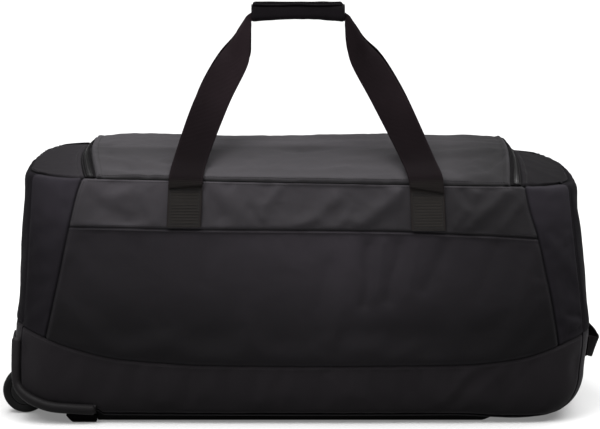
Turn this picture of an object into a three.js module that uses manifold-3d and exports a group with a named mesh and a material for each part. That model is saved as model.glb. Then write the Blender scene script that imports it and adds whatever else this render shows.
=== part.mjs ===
// Wheeled duffel bag, standing on its base.
// Millimetres. X runs along the bag (wheels at -X), Y across it (front at -Y), Z up.
import * as THREE from 'three';
import { mergeVertices } from 'three/addons/utils/BufferGeometryUtils.js';
import Module from 'manifold-3d';

const wasm = await Module();
wasm.setup();

// ---- driving sizes -------------------------------------------------------
const CENTRE_X = 3.0;          // middle of the overall length
const CLOTH = 2.0;             // cloth wall
const SEAM = 0.45;             // half of the gap left at a seam
const FLOOR = 8.5;             // underside of the cloth base
const FOOT_LEFT = 40;          // rounding of the lower left corner, seen from the front
const FOOT_RIGHT = 52;         // rounding of the lower right corner
const FOOT_FRONT = 14;         // rounding of the lower front and back edges
const SHOULDER = 12;           // rounding of the end walls under the lid seam
const FRONT_CROWN = 8;         // bulge of the front and back walls, in plan
const END_CROWN = 12;          // bulge of the end walls, in plan
const BORDER_ANGLE = 1.02;     // how far round the plan corner the end border seam lies
const EDGE_LEVEL = 4.1;        // height of the base edge seam above the underside
const LID_SEAM = { z: 318.3, x: -4.5, slope: -0.0184 };
const ARCH = 2.4;              // fullness of the lid across the bag
const HALF_TOP = 160;          // nominal half depth of the top
const HUMP = { left: { rise: 11.5, power: 3 }, right: { rise: 18.5, power: 1.35 } };
const ZIP = { left: -286, right: 282, half: 8, turn: 44, tape: 1.2, chain: 1.3 };
const STRAP = { thick: 2.2, off: 1.1 };
const GRIP = { x0: -67, x1: 58, z0: 512, z1: 538.4, halfY: 17, wall: 2.6, flap: 1.4 };
const WHEEL = { x: -366.5, y: 101, z: 30.3, radius: 30, width: 24, hub: 19, pin: 3, bore: 3.5 };
const WELL = { nx: -0.7, nz: -0.714, reach: 196.7, in0: 72, in1: 84, out1: 118, out0: 130 };
const HOUSING = { gap: 1.2, thick: 3.0, rim: 7.0, rimReach: 10.5, top: 103, end: -268 };
const FOOT = { x0: -307, chamfer: 9, y0: 140, y1: 164, high: 3.9 };
const RAIL = { x0: -261, x1: 254, foot: 237, y0: 126, y1: 148, high: 7.6 };

// ---- outline tables ------------------------------------------------------
// Horizontal sections of the body, at mid depth and mid length.
const SECTIONS = [
  { z: 8.5, left: -383.0, right: 377.0, depth: 170, corner: 40 },
  { z: 60, left: -383.4, right: 379.0, depth: 175, corner: 45 },
  { z: 105, left: -382.2, right: 383.4, depth: 179, corner: 50 },
  { z: 126, left: -380.4, right: 383.8, depth: 180, corner: 52 },
  { z: 160, left: -376.6, right: 380.6, depth: 181, corner: 56 },
  { z: 220, left: -372.5, right: 374.0, depth: 178, corner: 60 },
  { z: 260, left: -370.3, right: 369.7, depth: 173, corner: 63 },
  { z: 300, left: -368.4, right: 366.2, depth: 165, corner: 66 },
  { z: 330, left: -367.0, right: 364.2, depth: 157, corner: 68 },
];
// Base seam along the front, unrolled round the corners.
const BASE_SEAM = [
  { p: -440, z: 128.5 }, { p: -380, z: 128 }, { p: -364, z: 125 }, { p: -345, z: 119.9 },
  { p: -331, z: 115 }, { p: -312, z: 107 },
  { p: -286, z: 98.7 }, { p: -260, z: 92 }, { p: -235, z: 87.5 }, { p: -183, z: 82.8 },
  { p: -131, z: 80 }, { p: 0, z: 78.5 }, { p: 127, z: 79 }, { p: 205, z: 80 },
  { p: 257, z: 84 }, { p: 295, z: 91 }, { p: 326, z: 102 }, { p: 350, z: 111 },
  { p: 385, z: 117 }, { p: 440, z: 117 },
];
const POCKET_SEAM = [
  { x: -310, z: 260.8 }, { x: -233, z: 259.9 }, { x: -130, z: 258 }, { x: 0, z: 257.3 },
  { x: 126, z: 255.4 }, { x: 190, z: 252 }, { x: 254, z: 249 }, { x: 312, z: 245 },
];
const SLANT_LEFT = [
  { z: 100, x: -335 }, { z: 118, x: -331 }, { z: 200, x: -312 }, { z: 260.6, x: -299 },
  { z: 295, x: -291 }, { z: 308, x: -287.3 }, { z: 326, x: -280.5 },
];
const SLANT_RIGHT = [
  { z: 90, x: 335 }, { z: 109, x: 332.6 }, { z: 172, x: 321.5 }, { z: 205, x: 313.8 },
  { z: 245, x: 304.6 }, { z: 285, x: 292.5 }, { z: 316, x: 286.3 },
];
const LID_RISE = [
  { x: -300, rise: 30 }, { x: -264, rise: 31 }, { x: -209, rise: 32 }, { x: 0, rise: 36.5 },
  { x: 160, rise: 39 }, { x: 232, rise: 38 }, { x: 262, rise: 37 }, { x: 300, rise: 34.5 },
];
// Main folds: a stroke from (a0, b0) to (a1, b1), with its width and height.
const FOLDS = [
  { on: 'yoke', a0: -124, b0: 309, a1: -105, b1: 276, width: 13, high: -2.5 },
  { on: 'yoke', a0: 43, b0: 296, a1: -2, b1: 262, width: 15, high: 2.6 },
  { on: 'yoke', a0: 128, b0: 308, a1: 73, b1: 264, width: 15, high: 3.0 },
  { on: 'yoke', a0: 224, b0: 302, a1: 196, b1: 262, width: 14, high: 2.6 },
  { on: 'yoke', a0: 262, b0: 306, a1: 216, b1: 262, width: 13, high: 2.4 },
  { on: 'pocket', a0: 86, b0: 238, a1: 82, b1: 160, width: 12, high: -4.2 },
  { on: 'pocket', a0: 126, b0: 238, a1: 112, b1: 166, width: 12, high: -3.6 },
  { on: 'pocket', a0: 186, b0: 240, a1: 160, b1: 180, width: 14, high: -3.0 },
  { on: 'pocket', a0: 36, b0: 214, a1: 22, b1: 160, width: 16, high: -2.0 },
  { on: 'lid', a0: -126, b0: -123, a1: -2, b1: -66, width: 22, high: -3.0 },
  { on: 'lid', a0: -2, b0: -66, a1: 128, b1: -110, width: 22, high: -3.0 },
  { on: 'lid', a0: -252, b0: -85, a1: -222, b1: -138, width: 15, high: -2.6 },
  { on: 'lid', a0: 232, b0: -122, a1: 260, b1: -58, width: 15, high: 2.4 },
];
// Front carry handle, left half: the inner edge, fold line and outer edge of the
// webbing. Rows without a depth lie on the wall. The right half is the mirror image
// about x = shift.
const HANDLE = [
  { ix: -129, iz: 261.5, mx: -151, mz: 261.5, ox: -173, oz: 261.5, shift: 6 },
  { ix: -128, iz: 286, mx: -150, mz: 286, ox: -172, oz: 286, shift: 6 },
  { ix: -127, iz: 311, mx: -149, mz: 311, ox: -171, oz: 311, shift: 6 },
  { ix: -126, iy: -164, iz: 323, mx: -148, my: -164.5, mz: 323.5, ox: -170, oy: -164, oz: 324, shift: 5.5 },
  { ix: -122, iy: -124, iz: 341, mx: -144, my: -124, mz: 342, ox: -166, oy: -124, oz: 343, shift: 3.5 },
  { ix: -94, iy: -76, iz: 411, mx: -117, my: -76, mz: 414, ox: -140, oy: -76, oz: 417, shift: -1 },
  { ix: -69.8, iy: -46, iz: 461, mx: -92, my: -47, mz: 466, ox: -112, oy: -44, oz: 466, shift: -2.5 },
  { ix: -68.2, iy: -34, iz: 481, mx: -86.5, my: -35, mz: 493, ox: -97.5, oy: -26, oz: 482, shift: -4 },
  { ix: -68.4, iy: -23, iz: 500, mx: -78.5, my: -22, mz: 509.5, ox: -83.5, oy: -12, oz: 500, shift: -4.5 },
  { ix: -70, iy: -12.4, iz: 516.8, mx: -72.5, my: -9.8, mz: 522.5, ox: -74.5, oy: -6.2, oz: 516.8, shift: -4.5 },
  { ix: -56, iy: -12, iz: 517, mx: -56, my: -9.4, mz: 527.5, ox: -56, oy: -6, oz: 517, shift: -4.5 },
];
// End grab handle: half of its length, from the middle outwards.
const END_HANDLE = [
  { y: 0, z: 74, out: 15.4, lean: 2.6 }, { y: 24, z: 74.8, out: 15.2, lean: 2.6 },
  { y: 46, z: 77.5, out: 12.6, lean: 2.2 }, { y: 60, z: 81.5, out: 7.6, lean: 1.6 },
  { y: 70, z: 85.5, out: 2.8, lean: 0.6 }, { y: 76, z: 87.5, out: 0.8, lean: 0 },
  { y: 92, z: 88.5, out: 0.8, lean: 0 },
];
const END_HANDLE_HALF = 17;   // half of the webbing's width
// Height of the housing's front edge, from the border seam to the end of its lower arm.
const RIM_TOPS = [48, 39.5, 33.5, 29.5, 28, 26.5, 25.5];
const RIM_SHARES = [0.36, 0.7];   // where the edge bends round the plan corner

// ---- small tools ---------------------------------------------------------
const lerp = (a, b, t) => a + (b - a) * t;
const clamp = (v, lo, hi) => Math.min(hi, Math.max(lo, v));
const smooth = (t) => { const c = clamp(t, 0, 1); return c * c * (3 - 2 * c); };
const range = (n, lo = 0, hi = 1) => Array.from({ length: n + 1 }, (_, i) => lerp(lo, hi, i / n));

// Smooth reading of a table without overshoot.
function read(rows, key, column, at) {
  const n = rows.length;
  if (at <= rows[0][key]) return rows[0][column];
  if (at >= rows[n - 1][key]) return rows[n - 1][column];
  let i = 0;
  while (at > rows[i + 1][key]) i += 1;
  const slope = (k) => (rows[k + 1][column] - rows[k][column]) / (rows[k + 1][key] - rows[k][key]);
  const tangent = (k) => {
    if (k === 0) return slope(0);
    if (k === n - 1) return slope(n - 2);
    const a = slope(k - 1); const b = slope(k);
    return a * b <= 0 ? 0 : (2 * a * b) / (a + b);
  };
  const step = rows[i + 1][key] - rows[i][key];
  const t = (at - rows[i][key]) / step;
  const t2 = t * t; const t3 = t2 * t;
  return (2 * t3 - 3 * t2 + 1) * rows[i][column] + (t3 - 2 * t2 + t) * step * tangent(i)
    + (3 * t2 - 2 * t3) * rows[i + 1][column] + (t3 - t2) * step * tangent(i + 1);
}

// Inset of a rounded edge at a height above (or below) the edge.
function rounding(height, radius) {
  if (height >= radius) return 0;
  const k = radius - Math.max(0, height);
  return radius - Math.sqrt(radius * radius - k * k);
}

const lidSeam = (x) => LID_SEAM.z + LID_SEAM.slope * (x - LID_SEAM.x);
const baseSeam = (p) => read(BASE_SEAM, 'p', 'z', p);
const pocketSeam = (x) => read(POCKET_SEAM, 'x', 'z', x);

// ---- body walls ----------------------------------------------------------
function section(z) {
  const h = z - FLOOR;
  const left = read(SECTIONS, 'z', 'left', z) + rounding(h, FOOT_LEFT)
    + rounding(lidSeam(-365) - z, SHOULDER) + END_CROWN;
  const right = read(SECTIONS, 'z', 'right', z) - rounding(h, FOOT_RIGHT)
    - rounding(lidSeam(360) - z, SHOULDER) - END_CROWN;
  const depth = read(SECTIONS, 'z', 'depth', z) - rounding(h, FOOT_FRONT) - FRONT_CROWN;
  return { left, right, depth, corner: read(SECTIONS, 'z', 'corner', z) };
}

// Point on the front half of the wall at height z. p is x along the front and keeps
// measuring along the wall round the plan corners and onto the ends.
function wall(p, z) {
  const s = section(z);
  const r = s.corner;
  const pl = s.left + r; const pr = s.right - r;
  const quarter = Math.PI / 2;
  let x = p; let y = -s.depth;
  const past = p < pl ? pl - p : p > pr ? p - pr : 0;
  if (past > 0) {
    const side = p < pl ? -1 : 1;
    const a = past / r;
    if (a < quarter) {
      x = (side < 0 ? pl : pr) + side * r * Math.sin(a);
      y = -(s.depth - r) - r * Math.cos(a);
    } else {
      x = side < 0 ? s.left : s.right;
      y = -(s.depth - r) + (a - quarter) * r;
    }
  }
  const mid = (s.left + s.right) / 2; const half = (s.right - s.left) / 2;
  const u = (x - mid) / half; const v = y / s.depth;
  return new THREE.Vector3(
    x + Math.sign(u) * END_CROWN * (1 - v * v) * u * u,
    y - FRONT_CROWN * (1 - u * u) * v * v,
    z,
  );
}
const mirrorY = (v) => new THREE.Vector3(v.x, -v.y, v.z);

// Wall coordinate of the point whose x is given, at height z.
function along(x, z) {
  const s = section(z);
  let lo = x < 0 ? s.left + s.corner - s.corner * 1.5 : 0;
  let hi = x < 0 ? 0 : s.right - s.corner + s.corner * 1.5;
  for (let k = 0; k < 40; k += 1) {
    const m = (lo + hi) / 2;
    if (wall(m, z).x < x) lo = m; else hi = m;
  }
  return (lo + hi) / 2;
}
const slantLeft = (z) => along(read(SLANT_LEFT, 'z', 'x', z), z);
const slantRight = (z) => along(read(SLANT_RIGHT, 'z', 'x', z), z);
const borderLeft = (z) => { const s = section(z); return s.left + s.corner * (1 - BORDER_ANGLE); };
const borderRight = (z) => { const s = section(z); return s.right - s.corner * (1 - BORDER_ANGLE); };

// Point on an end wall. dist runs from the middle of the end (0) towards the front
// (negative) or the back (positive), measured along the wall.
function endWall(side, dist, z) {
  const s = section(z);
  const run = s.corner * Math.PI / 2 + (s.depth - s.corner) - Math.abs(dist);
  const p = side < 0 ? s.left + s.corner - run : s.right - s.corner + run;
  const v = wall(p, z);
  return dist > 0 ? mirrorY(v) : v;
}
const endReach = (z) => {
  const s = section(z);
  return s.depth - s.corner + s.corner * (Math.PI / 2 - BORDER_ANGLE);
};

// Direction out of the bag, used for every cloth wall's thickness.
function outward(v) {
  const d = new THREE.Vector3(
    v.x - clamp(v.x, -300, 300), v.y - clamp(v.y, -100, 100), v.z - clamp(v.z, 90, 260),
  );
  return d.normalize();
}

function fold(on, a, b) {
  let sum = 0;
  for (const f of FOLDS) {
    if (f.on !== on) continue;
    const da = f.a1 - f.a0; const db = f.b1 - f.b0;
    const t = clamp(((a - f.a0) * da + (b - f.b0) * db) / (da * da + db * db), 0, 1);
    const d = Math.hypot(a - f.a0 - t * da, b - f.b0 - t * db) / f.width;
    sum += f.high * Math.exp(-d * d);
  }
  return sum;
}
// The walls stay plain under the sewn handle ends.
const bare = (x) => smooth((Math.abs(x + 150) - 27) / 10) * smooth((Math.abs(x - 162) - 28) / 10);

// ---- solids from surfaces ------------------------------------------------
// A surface is a list of vertices and outward triangles. Grids are turned to face out.
function grid(us, vs, point) {
  const verts = []; const tris = [];
  for (const u of us) for (const v of vs) verts.push(point(u, v));
  const nv = vs.length;
  let facing = 0;
  const e1 = new THREE.Vector3(); const e2 = new THREE.Vector3();
  for (let i = 0; i + 1 < us.length; i += 1) {
    for (let j = 0; j + 1 < nv; j += 1) {
      const a = i * nv + j; const b = a + nv; const c = b + 1; const d = a + 1;
      tris.push([a, b, c], [a, c, d]);
      e1.subVectors(verts[c], verts[a]); e2.subVectors(verts[d], verts[b]);
      facing += e1.cross(e2).dot(outward(verts[a]));
    }
  }
  if (facing < 0) for (const t of tris) t.reverse();
  return { verts, tris };
}

function join(...surfaces) {
  const verts = []; const tris = []; const seen = new Map();
  for (const s of surfaces) {
    const map = s.verts.map((v) => {
      const key = [v.x, v.y, v.z].map((c) => Math.round(c * 200)).join(',');
      if (!seen.has(key)) { seen.set(key, verts.length); verts.push(v); }
      return seen.get(key);
    });
    for (const t of s.tris) {
      const m = t.map((k) => map[k]);
      if (new Set(m).size === 3) tris.push(m);
    }
  }
  return { verts, tris };
}

// Closed solid between two offsets of a surface, measured along the outward direction.
function thicken(surface, from, to, extra = () => 0) {
  const n = surface.verts.length;
  const pos = [];
  for (const off of [to, from]) {
    for (const v of surface.verts) {
      const d = outward(v); const k = off === to ? off + extra(v) : off;
      pos.push(v.x + d.x * k, v.y + d.y * k, v.z + d.z * k);
    }
  }
  const edges = new Map(); const index = [];
  for (const t of surface.tris) {
    index.push(t[0], t[1], t[2], t[0] + n, t[2] + n, t[1] + n);
    for (let k = 0; k < 3; k += 1) {
      const a = t[k]; const b = t[(k + 1) % 3];
      if (edges.has(`${b},${a}`)) edges.delete(`${b},${a}`); else edges.set(`${a},${b}`, [a, b]);
    }
  }
  for (const [a, b] of edges.values()) index.push(b, a, a + n, b, a + n, b + n);
  const g = new THREE.BufferGeometry();
  g.setAttribute('position', new THREE.Float32BufferAttribute(pos, 3));
  g.setIndex(index);
  return g;
}
const cloth = (surface) => thicken(surface, -CLOTH, 0);

// Loft of closed sections (equal point counts), capped at both ends.
function loft(sections) {
  const n = sections[0].length; const pos = []; const index = [];
  for (const s of sections) for (const v of s) pos.push(v.x, v.y, v.z);
  for (let i = 0; i + 1 < sections.length; i += 1) {
    for (let k = 0; k < n; k += 1) {
      const a = i * n + k; const b = i * n + (k + 1) % n; const c = b + n; const d = a + n;
      index.push(a, b, c, a, c, d);
    }
  }
  const last = (sections.length - 1) * n;
  // The sections are flat bands, so the caps are strips across them.
  for (let k = 0; k < n / 2 - 1; k += 1) {
    const a = k; const b = k + 1; const c = n - 2 - k; const d = n - 1 - k;
    index.push(a, c, b, a, d, c, last + a, last + b, last + c, last + a, last + c, last + d);
  }
  const g = new THREE.BufferGeometry();
  g.setAttribute('position', new THREE.Float32BufferAttribute(pos, 3));
  g.setIndex(index);
  if (volume(g) < 0) flip(g);
  return g;
}

function volume(g) {
  const p = g.attributes.position; const ix = g.index.array; let sum = 0;
  const a = new THREE.Vector3(); const b = new THREE.Vector3(); const c = new THREE.Vector3();
  for (let k = 0; k < ix.length; k += 3) {
    a.fromBufferAttribute(p, ix[k]); b.fromBufferAttribute(p, ix[k + 1]); c.fromBufferAttribute(p, ix[k + 2]);
    sum += a.dot(b.cross(c));
  }
  return sum / 6;
}
function flip(g) {
  const ix = g.index.array;
  for (let k = 0; k < ix.length; k += 3) { const t = ix[k + 1]; ix[k + 1] = ix[k + 2]; ix[k + 2] = t; }
}

function solid(geometry) {
  let g = geometry.clone();
  for (const name of Object.keys(g.attributes)) if (name !== 'position') g.deleteAttribute(name);
  g = mergeVertices(g, 1e-4);
  const triVerts = new Uint32Array(g.index.array);
  return new wasm.Manifold(new wasm.Mesh({
    numProp: 3, vertProperties: new Float32Array(g.attributes.position.array), triVerts,
  }));
}
function fromSolid(manifold) {
  const m = manifold.getMesh();
  const g = new THREE.BufferGeometry();
  const count = m.vertProperties.length / m.numProp; const pos = new Float32Array(count * 3);
  for (let k = 0; k < count; k += 1) for (let c = 0; c < 3; c += 1) pos[3 * k + c] = m.vertProperties[m.numProp * k + c];
  g.setAttribute('position', new THREE.BufferAttribute(pos, 3));
  g.setIndex(Array.from(m.triVerts));
  return g;
}
// Cylinder along Y between two depths.
function barY(radius, x, z, y0, y1, sides) {
  const g = new THREE.CylinderGeometry(radius, radius, Math.abs(y1 - y0), sides);
  return g.translate(x, (y0 + y1) / 2, z);
}
function mirrored(geometry) {
  let g = geometry.clone();
  for (const name of Object.keys(g.attributes)) if (name !== 'position') g.deleteAttribute(name);
  g = mergeVertices(g, 1e-4).scale(1, -1, 1);
  flip(g);
  return g;
}

// ---- materials -----------------------------------------------------------
const paint = (color, roughness, metalness = 0) => new THREE.MeshStandardMaterial({ color, roughness, metalness });
const CLOTH_PAINT = () => paint(0x2c2b2d, 0.8);
const BASE_PAINT = () => paint(0x222122, 0.75);
const WEB_PAINT = () => paint(0x1d1c1c, 0.85);
const ZIP_PAINT = () => paint(0x161617, 0.6);
const PLASTIC_PAINT = () => paint(0x1b1b1c, 0.5);
const WHEEL_PAINT = () => paint(0x141415, 0.6);
const HUB_PAINT = () => paint(0x202021, 0.45);
const STEEL_PAINT = () => paint(0x9a9b9d, 0.35, 1);

const bag = new THREE.Group();
bag.position.x = -CENTRE_X;
function put(name, geometry, material) {
  const mesh = new THREE.Mesh(geometry, material);
  mesh.name = name;
  bag.add(mesh);
  return mesh;
}

// ---- side panels ---------------------------------------------------------
// Front panel between two seams in height and two along the wall. sy is -1 for the
// front and 1 for the back.
function sidePanel(us, vs, pLow, pHigh, zLow, zHigh, sy, on) {
  const uMid = (pLow(180) + pHigh(180)) / 2;
  return grid(us, vs, (u, v) => {
    let p = uMid; let z = 180;
    for (let k = 0; k < 6; k += 1) {
      z = lerp(zLow(p) + SEAM, zHigh(p) - SEAM, v);
      p = lerp(pLow(z) + SEAM, pHigh(z) - SEAM, u);
    }
    const w = wall(p, z);
    if (on) w.y -= fold(on, p, z) * bare(p) * smooth(Math.min(u, 1 - u) * 14) * smooth(Math.min(v, 1 - v) * 5);
    return sy < 0 ? w : mirrorY(w);
  });
}
const RISE_STEPS = [0, 0.2, 0.45, 0.7, 0.9, 0.96, 0.985, 1];   // finer under the lid seam
const seamTop = (p) => lidSeam(clamp(p, -345, 340));

put('front_yoke', cloth(sidePanel(range(28), range(4), slantLeft, slantRight, pocketSeam, seamTop, -1, 'yoke')), CLOTH_PAINT());
put('front_pocket', cloth(sidePanel(range(26), range(6), slantLeft, slantRight, baseSeam, pocketSeam, -1, 'pocket')), CLOTH_PAINT());
put('back_panel', cloth(sidePanel(range(14), range(6), slantLeft, slantRight, baseSeam, seamTop, 1)), CLOTH_PAINT());
for (const [word, sy] of [['front', -1], ['rear', 1]]) {
  put(`gusset_left_${word}`, cloth(sidePanel(range(5), RISE_STEPS, borderLeft, slantLeft, baseSeam, seamTop, sy)), CLOTH_PAINT());
  put(`gusset_right_${word}`, cloth(sidePanel(range(5), RISE_STEPS, slantRight, borderRight, baseSeam, seamTop, sy)), CLOTH_PAINT());
}

const END_STEPS = [-1, -0.86, -0.68, -0.35, 0, 0.35, 0.68, 0.86, 1];
for (const [word, side] of [['left', -1], ['right', 1]]) {
  const low = baseSeam(side * 440);
  const high = seamTop(side * 400);
  put(`end_panel_${word}`, cloth(grid(END_STEPS, RISE_STEPS, (t, v) => {
    const z = lerp(low + SEAM, high - SEAM, v);
    return endWall(side, t * (endReach(z) - SEAM), z);
  })), CLOTH_PAINT());
}

// ---- base ----------------------------------------------------------------
const edgeZ = FLOOR + EDGE_LEVEL;
put('base_front', cloth(sidePanel(range(32), range(3), borderLeft, borderRight, () => edgeZ, baseSeam, -1)), BASE_PAINT());
put('base_back', cloth(sidePanel(range(32), range(3), borderLeft, borderRight, () => edgeZ, baseSeam, 1)), BASE_PAINT());

// Hollow in the lower left corner that each wheel turns in.
function hollow(v) {
  const y = Math.abs(v.y);
  const share = smooth((y - WELL.in0) / (WELL.in1 - WELL.in0)) * smooth((WELL.out0 - y) / (WELL.out0 - WELL.out1));
  const past = v.x * WELL.nx + v.z * WELL.nz - WELL.reach;
  if (past <= 0 || share <= 0 || v.x > 0) return v;
  return new THREE.Vector3(v.x - WELL.nx * past * share, v.y, v.z - WELL.nz * past * share);
}
const END_LINES = [66, 72, 84, 118, 130];
const BASE_XS = [-325, -307, -290, HOUSING.end, 0, 250, 300];
const LOW_ROWS = [edgeZ, 20, 31, 40.5, 44.5, RIM_TOPS[0], 78, HOUSING.top, baseSeam(-440) - SEAM];
const RIGHT_ROWS = [edgeZ, 22, 38, 62, 117 - SEAM];
const spread = (lines) => [...lines.map((d) => -d).reverse(), 0, ...lines];
const ALL_LINES = [-Infinity, ...spread(END_LINES), Infinity];
// Lower part of an end wall at a height, out to the border seam.
const endRow = (side, z) => (c) => {
  const reach = endReach(z) - SEAM;
  return endWall(side, clamp(c, -reach, reach), z);
};
// Line across the underside at x: flat, and rolled up to the edge seam at both sides.
const underRow = (x) => (c) => {
  const out = -wall(along(x, edgeZ), edgeZ).y - SEAM;
  const flat = -wall(x, FLOOR).y;
  if (Math.abs(c) === Infinity) return new THREE.Vector3(x, Math.sign(c) * out, edgeZ);
  return new THREE.Vector3(x, Math.sign(c) * Math.min(Math.abs(c), flat), FLOOR);
};
// Lower edge of an end's rounding; its outermost points stay on the edge seam.
const floorRow = (side) => (c) => endRow(side, Math.abs(c) === Infinity ? edgeZ : FLOOR + 0.02)(c);
// Line a share of the way from an end's edge to the first straight line.
const cornerRow = (side, x, share) => (c) => {
  const a = endRow(side, FLOOR)(c); const b = underRow(x)(c);
  if (Math.abs(c) !== Infinity) return a.lerp(b, share);
  const s0 = side < 0 ? borderLeft(edgeZ) + SEAM : borderRight(edgeZ) - SEAM;
  const v = wall(lerp(s0, along(x, edgeZ), share), edgeZ);
  v.y += SEAM;
  return c < 0 ? v : mirrorY(v);
};
function underRows(xs, right) {
  const rows = [endRow(-1, edgeZ), floorRow(-1)];
  for (const k of RIM_SHARES) rows.push(cornerRow(-1, xs[0], k));
  for (const x of xs) rows.push(underRow(x));
  if (right) {
    for (const k of [...RIM_SHARES].reverse()) rows.push(cornerRow(1, xs[xs.length - 1], k));
    rows.push(floorRow(1), endRow(1, edgeZ));
  }
  return rows;
}
const endLow = (side, cols, rows) => grid(cols, rows, (c, z) => hollow(endRow(side, z)(c)));
const underside = (rows, cols) => grid(rows, cols, (row, c) => hollow(row(c)));

const baseBottom = join(
  endLow(-1, ALL_LINES, LOW_ROWS),
  underside(underRows(BASE_XS, true), ALL_LINES),
  endLow(1, ALL_LINES, RIGHT_ROWS),
);
let bottomSolid = solid(cloth(baseBottom));
for (const sy of [-1, 1]) {
  for (const [y0, y1] of [[64, 92], [112, 141]]) {
    bottomSolid = bottomSolid.subtract(solid(barY(WHEEL.pin + 1.2, WHEEL.x, WHEEL.z, sy * y0, sy * y1, 16)));
  }
}
put('base_bottom', fromSolid(bottomSolid), BASE_PAINT());

// ---- top -----------------------------------------------------------------
const arch = (t) => 1 - Math.abs(clamp(t, -1, 1)) ** ARCH;
const seamDepth = (x) => -wall(along(x, lidSeam(x)), lidSeam(x)).y;
const lidHeight = (x, Y) => lidSeam(x) + read(LID_RISE, 'x', 'rise', x) * arch(Y / HALF_TOP);
const topPoint = (x, Y, z) => new THREE.Vector3(x, Y * seamDepth(x) / HALF_TOP, z);

// X of the zip tape's edge at nominal depth Y; off is -1 on the outside, 1 on the lid side.
const TURN_Y = HALF_TOP - ZIP.turn - ZIP.half;
function zipEdge(side, Y, off, gap) {
  const t2 = Y < 0 ? (Y / HALF_TOP) ** 2 : 0;
  const draw = side < 0 ? (off < 0 ? 12 : 17) : (off < 0 ? 3 : 8);
  const mid = side < 0 ? ZIP.left : ZIP.right;
  if (Y <= TURN_Y) return mid - side * (off * ZIP.half + gap * off + draw * t2);
  const r = ZIP.turn - off * (ZIP.half + gap);
  const cx = mid - side * ZIP.turn;
  return cx + side * Math.sqrt(Math.max(0, r * r - (Y - TURN_Y) ** 2));
}

// Lid.
const lidRear = TURN_Y + ZIP.turn - ZIP.half - SEAM;
const LID_ROWS = [...range(7, -HALF_TOP + SEAM, 20), 70, TURN_Y, TURN_Y + 18, TURN_Y + 30, lidRear];
put('lid', cloth(grid(range(20), LID_ROWS, (u, Y) => {
  const x = lerp(zipEdge(-1, Y, 1, SEAM), zipEdge(1, Y, 1, SEAM), u);
  const z = lidHeight(x, Y) + fold('lid', x, Y) * smooth(Math.min(u, 1 - u) * 12) * smooth((Y + HALF_TOP) / 30);
  return topPoint(x, Y, z);
})), CLOTH_PAINT());

// Top end panels between the zip and the end walls.
function humpPanel(side) {
  const h = side < 0 ? HUMP.left : HUMP.right;
  const seamZ = (p) => seamTop(p);
  const corner = (p) => wall(p, seamZ(p));
  const cornerP = side < 0 ? borderLeft(seamTop(-400)) : borderRight(seamTop(400));
  const zipFront = zipEdge(side, -HALF_TOP, -1, SEAM);
  const zipRear = zipEdge(side, HALF_TOP, -1, SEAM);
  const front = (u) => corner(lerp(along(zipFront, lidSeam(zipFront)), cornerP, u));
  const rear = (u) => mirrorY(corner(lerp(along(zipRear, lidSeam(zipRear)), cornerP, u)));
  const end = (t) => endWall(side, t * endReach(seamTop(side * 400)), seamTop(side * 400));
  const zip = (t) => {
    const Y = t * HALF_TOP; const x = zipEdge(side, Y, -1, SEAM);
    return topPoint(x, Y, 0);
  };
  const us = [0, 0.3, 0.55, 0.75, 0.9, 1];
  const ts = [-1, -0.9, -0.75, -0.5, -0.25, 0, 0.25, 0.5, 0.66, 0.76, 0.85, 0.93, 0.98, 1];
  return grid(us, ts, (uu, tt) => {
    const u = clamp(uu, 0, 1 - 0.006); const t = clamp(tt, -1 + 0.003, 1 - 0.003);
    const k = (t + 1) / 2;
    const f = front(u); const r = rear(u); const z0 = zip(t); const e = end(t);
    const c00 = front(0); const c10 = front(1); const c01 = rear(0); const c11 = rear(1);
    const mix = (axis) => (1 - k) * f[axis] + k * r[axis] + (1 - u) * z0[axis] + u * e[axis]
      - ((1 - u) * (1 - k) * c00[axis] + u * (1 - k) * c10[axis] + (1 - u) * k * c01[axis] + u * k * c11[axis]);
    const x = mix('x'); const y = mix('y');
    const z = seamTop(x) + h.rise * (1 - u ** h.power) * arch(t) + SEAM;
    return new THREE.Vector3(x, y, z);
  });
}
put('top_end_left', cloth(humpPanel(-1)), CLOTH_PAINT());
put('top_end_right', cloth(humpPanel(1)), CLOTH_PAINT());

// Zip: tape with the chain standing along its middle.
const CHAIN = [[-1, 0], [-0.36, 0], [-0.28, 1], [0.28, 1], [0.36, 0], [1, 0]];
function zipPoint(side, Y, d) {
  const outer = zipEdge(side, Y, -1, 0); const inner = zipEdge(side, Y, 1, 0);
  return { x: lerp(outer, inner, (d + 1) / 2), Y, side };
}
function turnPoint(side, angle, d) {
  const mid = side < 0 ? ZIP.left : ZIP.right;
  const r = ZIP.turn - d * ZIP.half;
  return { x: mid - side * ZIP.turn + side * r * Math.cos(angle), Y: TURN_Y + r * Math.sin(angle), side };
}
function zipHeight(q, d) {
  const h = q.side < 0 ? HUMP.left : q.side > 0 ? HUMP.right : { rise: 0 };
  const low = lidSeam(q.x) + h.rise * arch(q.Y / HALF_TOP);
  const high = lidHeight(q.x, q.Y);
  return lerp(low, high, (d + 1) / 2) + 0.3;
}
function zipSolid(stations) {
  const surface = grid(stations, CHAIN, (station, [d, lift]) => {
    const e = d * (1 - 2 * SEAM / ZIP.half);
    const q = station(e);
    const v = topPoint(q.x, q.Y, zipHeight(q, e));
    return lift ? v.addScaledVector(outward(v), ZIP.chain) : v;
  });
  return thicken(surface, -ZIP.tape, 0);
}
const legRows = range(8, -HALF_TOP + 2 * SEAM, TURN_Y - SEAM);
put('zip_left', zipSolid(legRows.map((Y) => (d) => zipPoint(-1, Y, d))), ZIP_PAINT());
put('zip_right', zipSolid(legRows.map((Y) => (d) => zipPoint(1, Y, d))), ZIP_PAINT());
const rearStations = [];
for (const a of range(5, 0.012, Math.PI / 2)) rearStations.push((d) => turnPoint(-1, a, d));
const rearX0 = ZIP.left + ZIP.turn; const rearX1 = ZIP.right - ZIP.turn;
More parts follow.
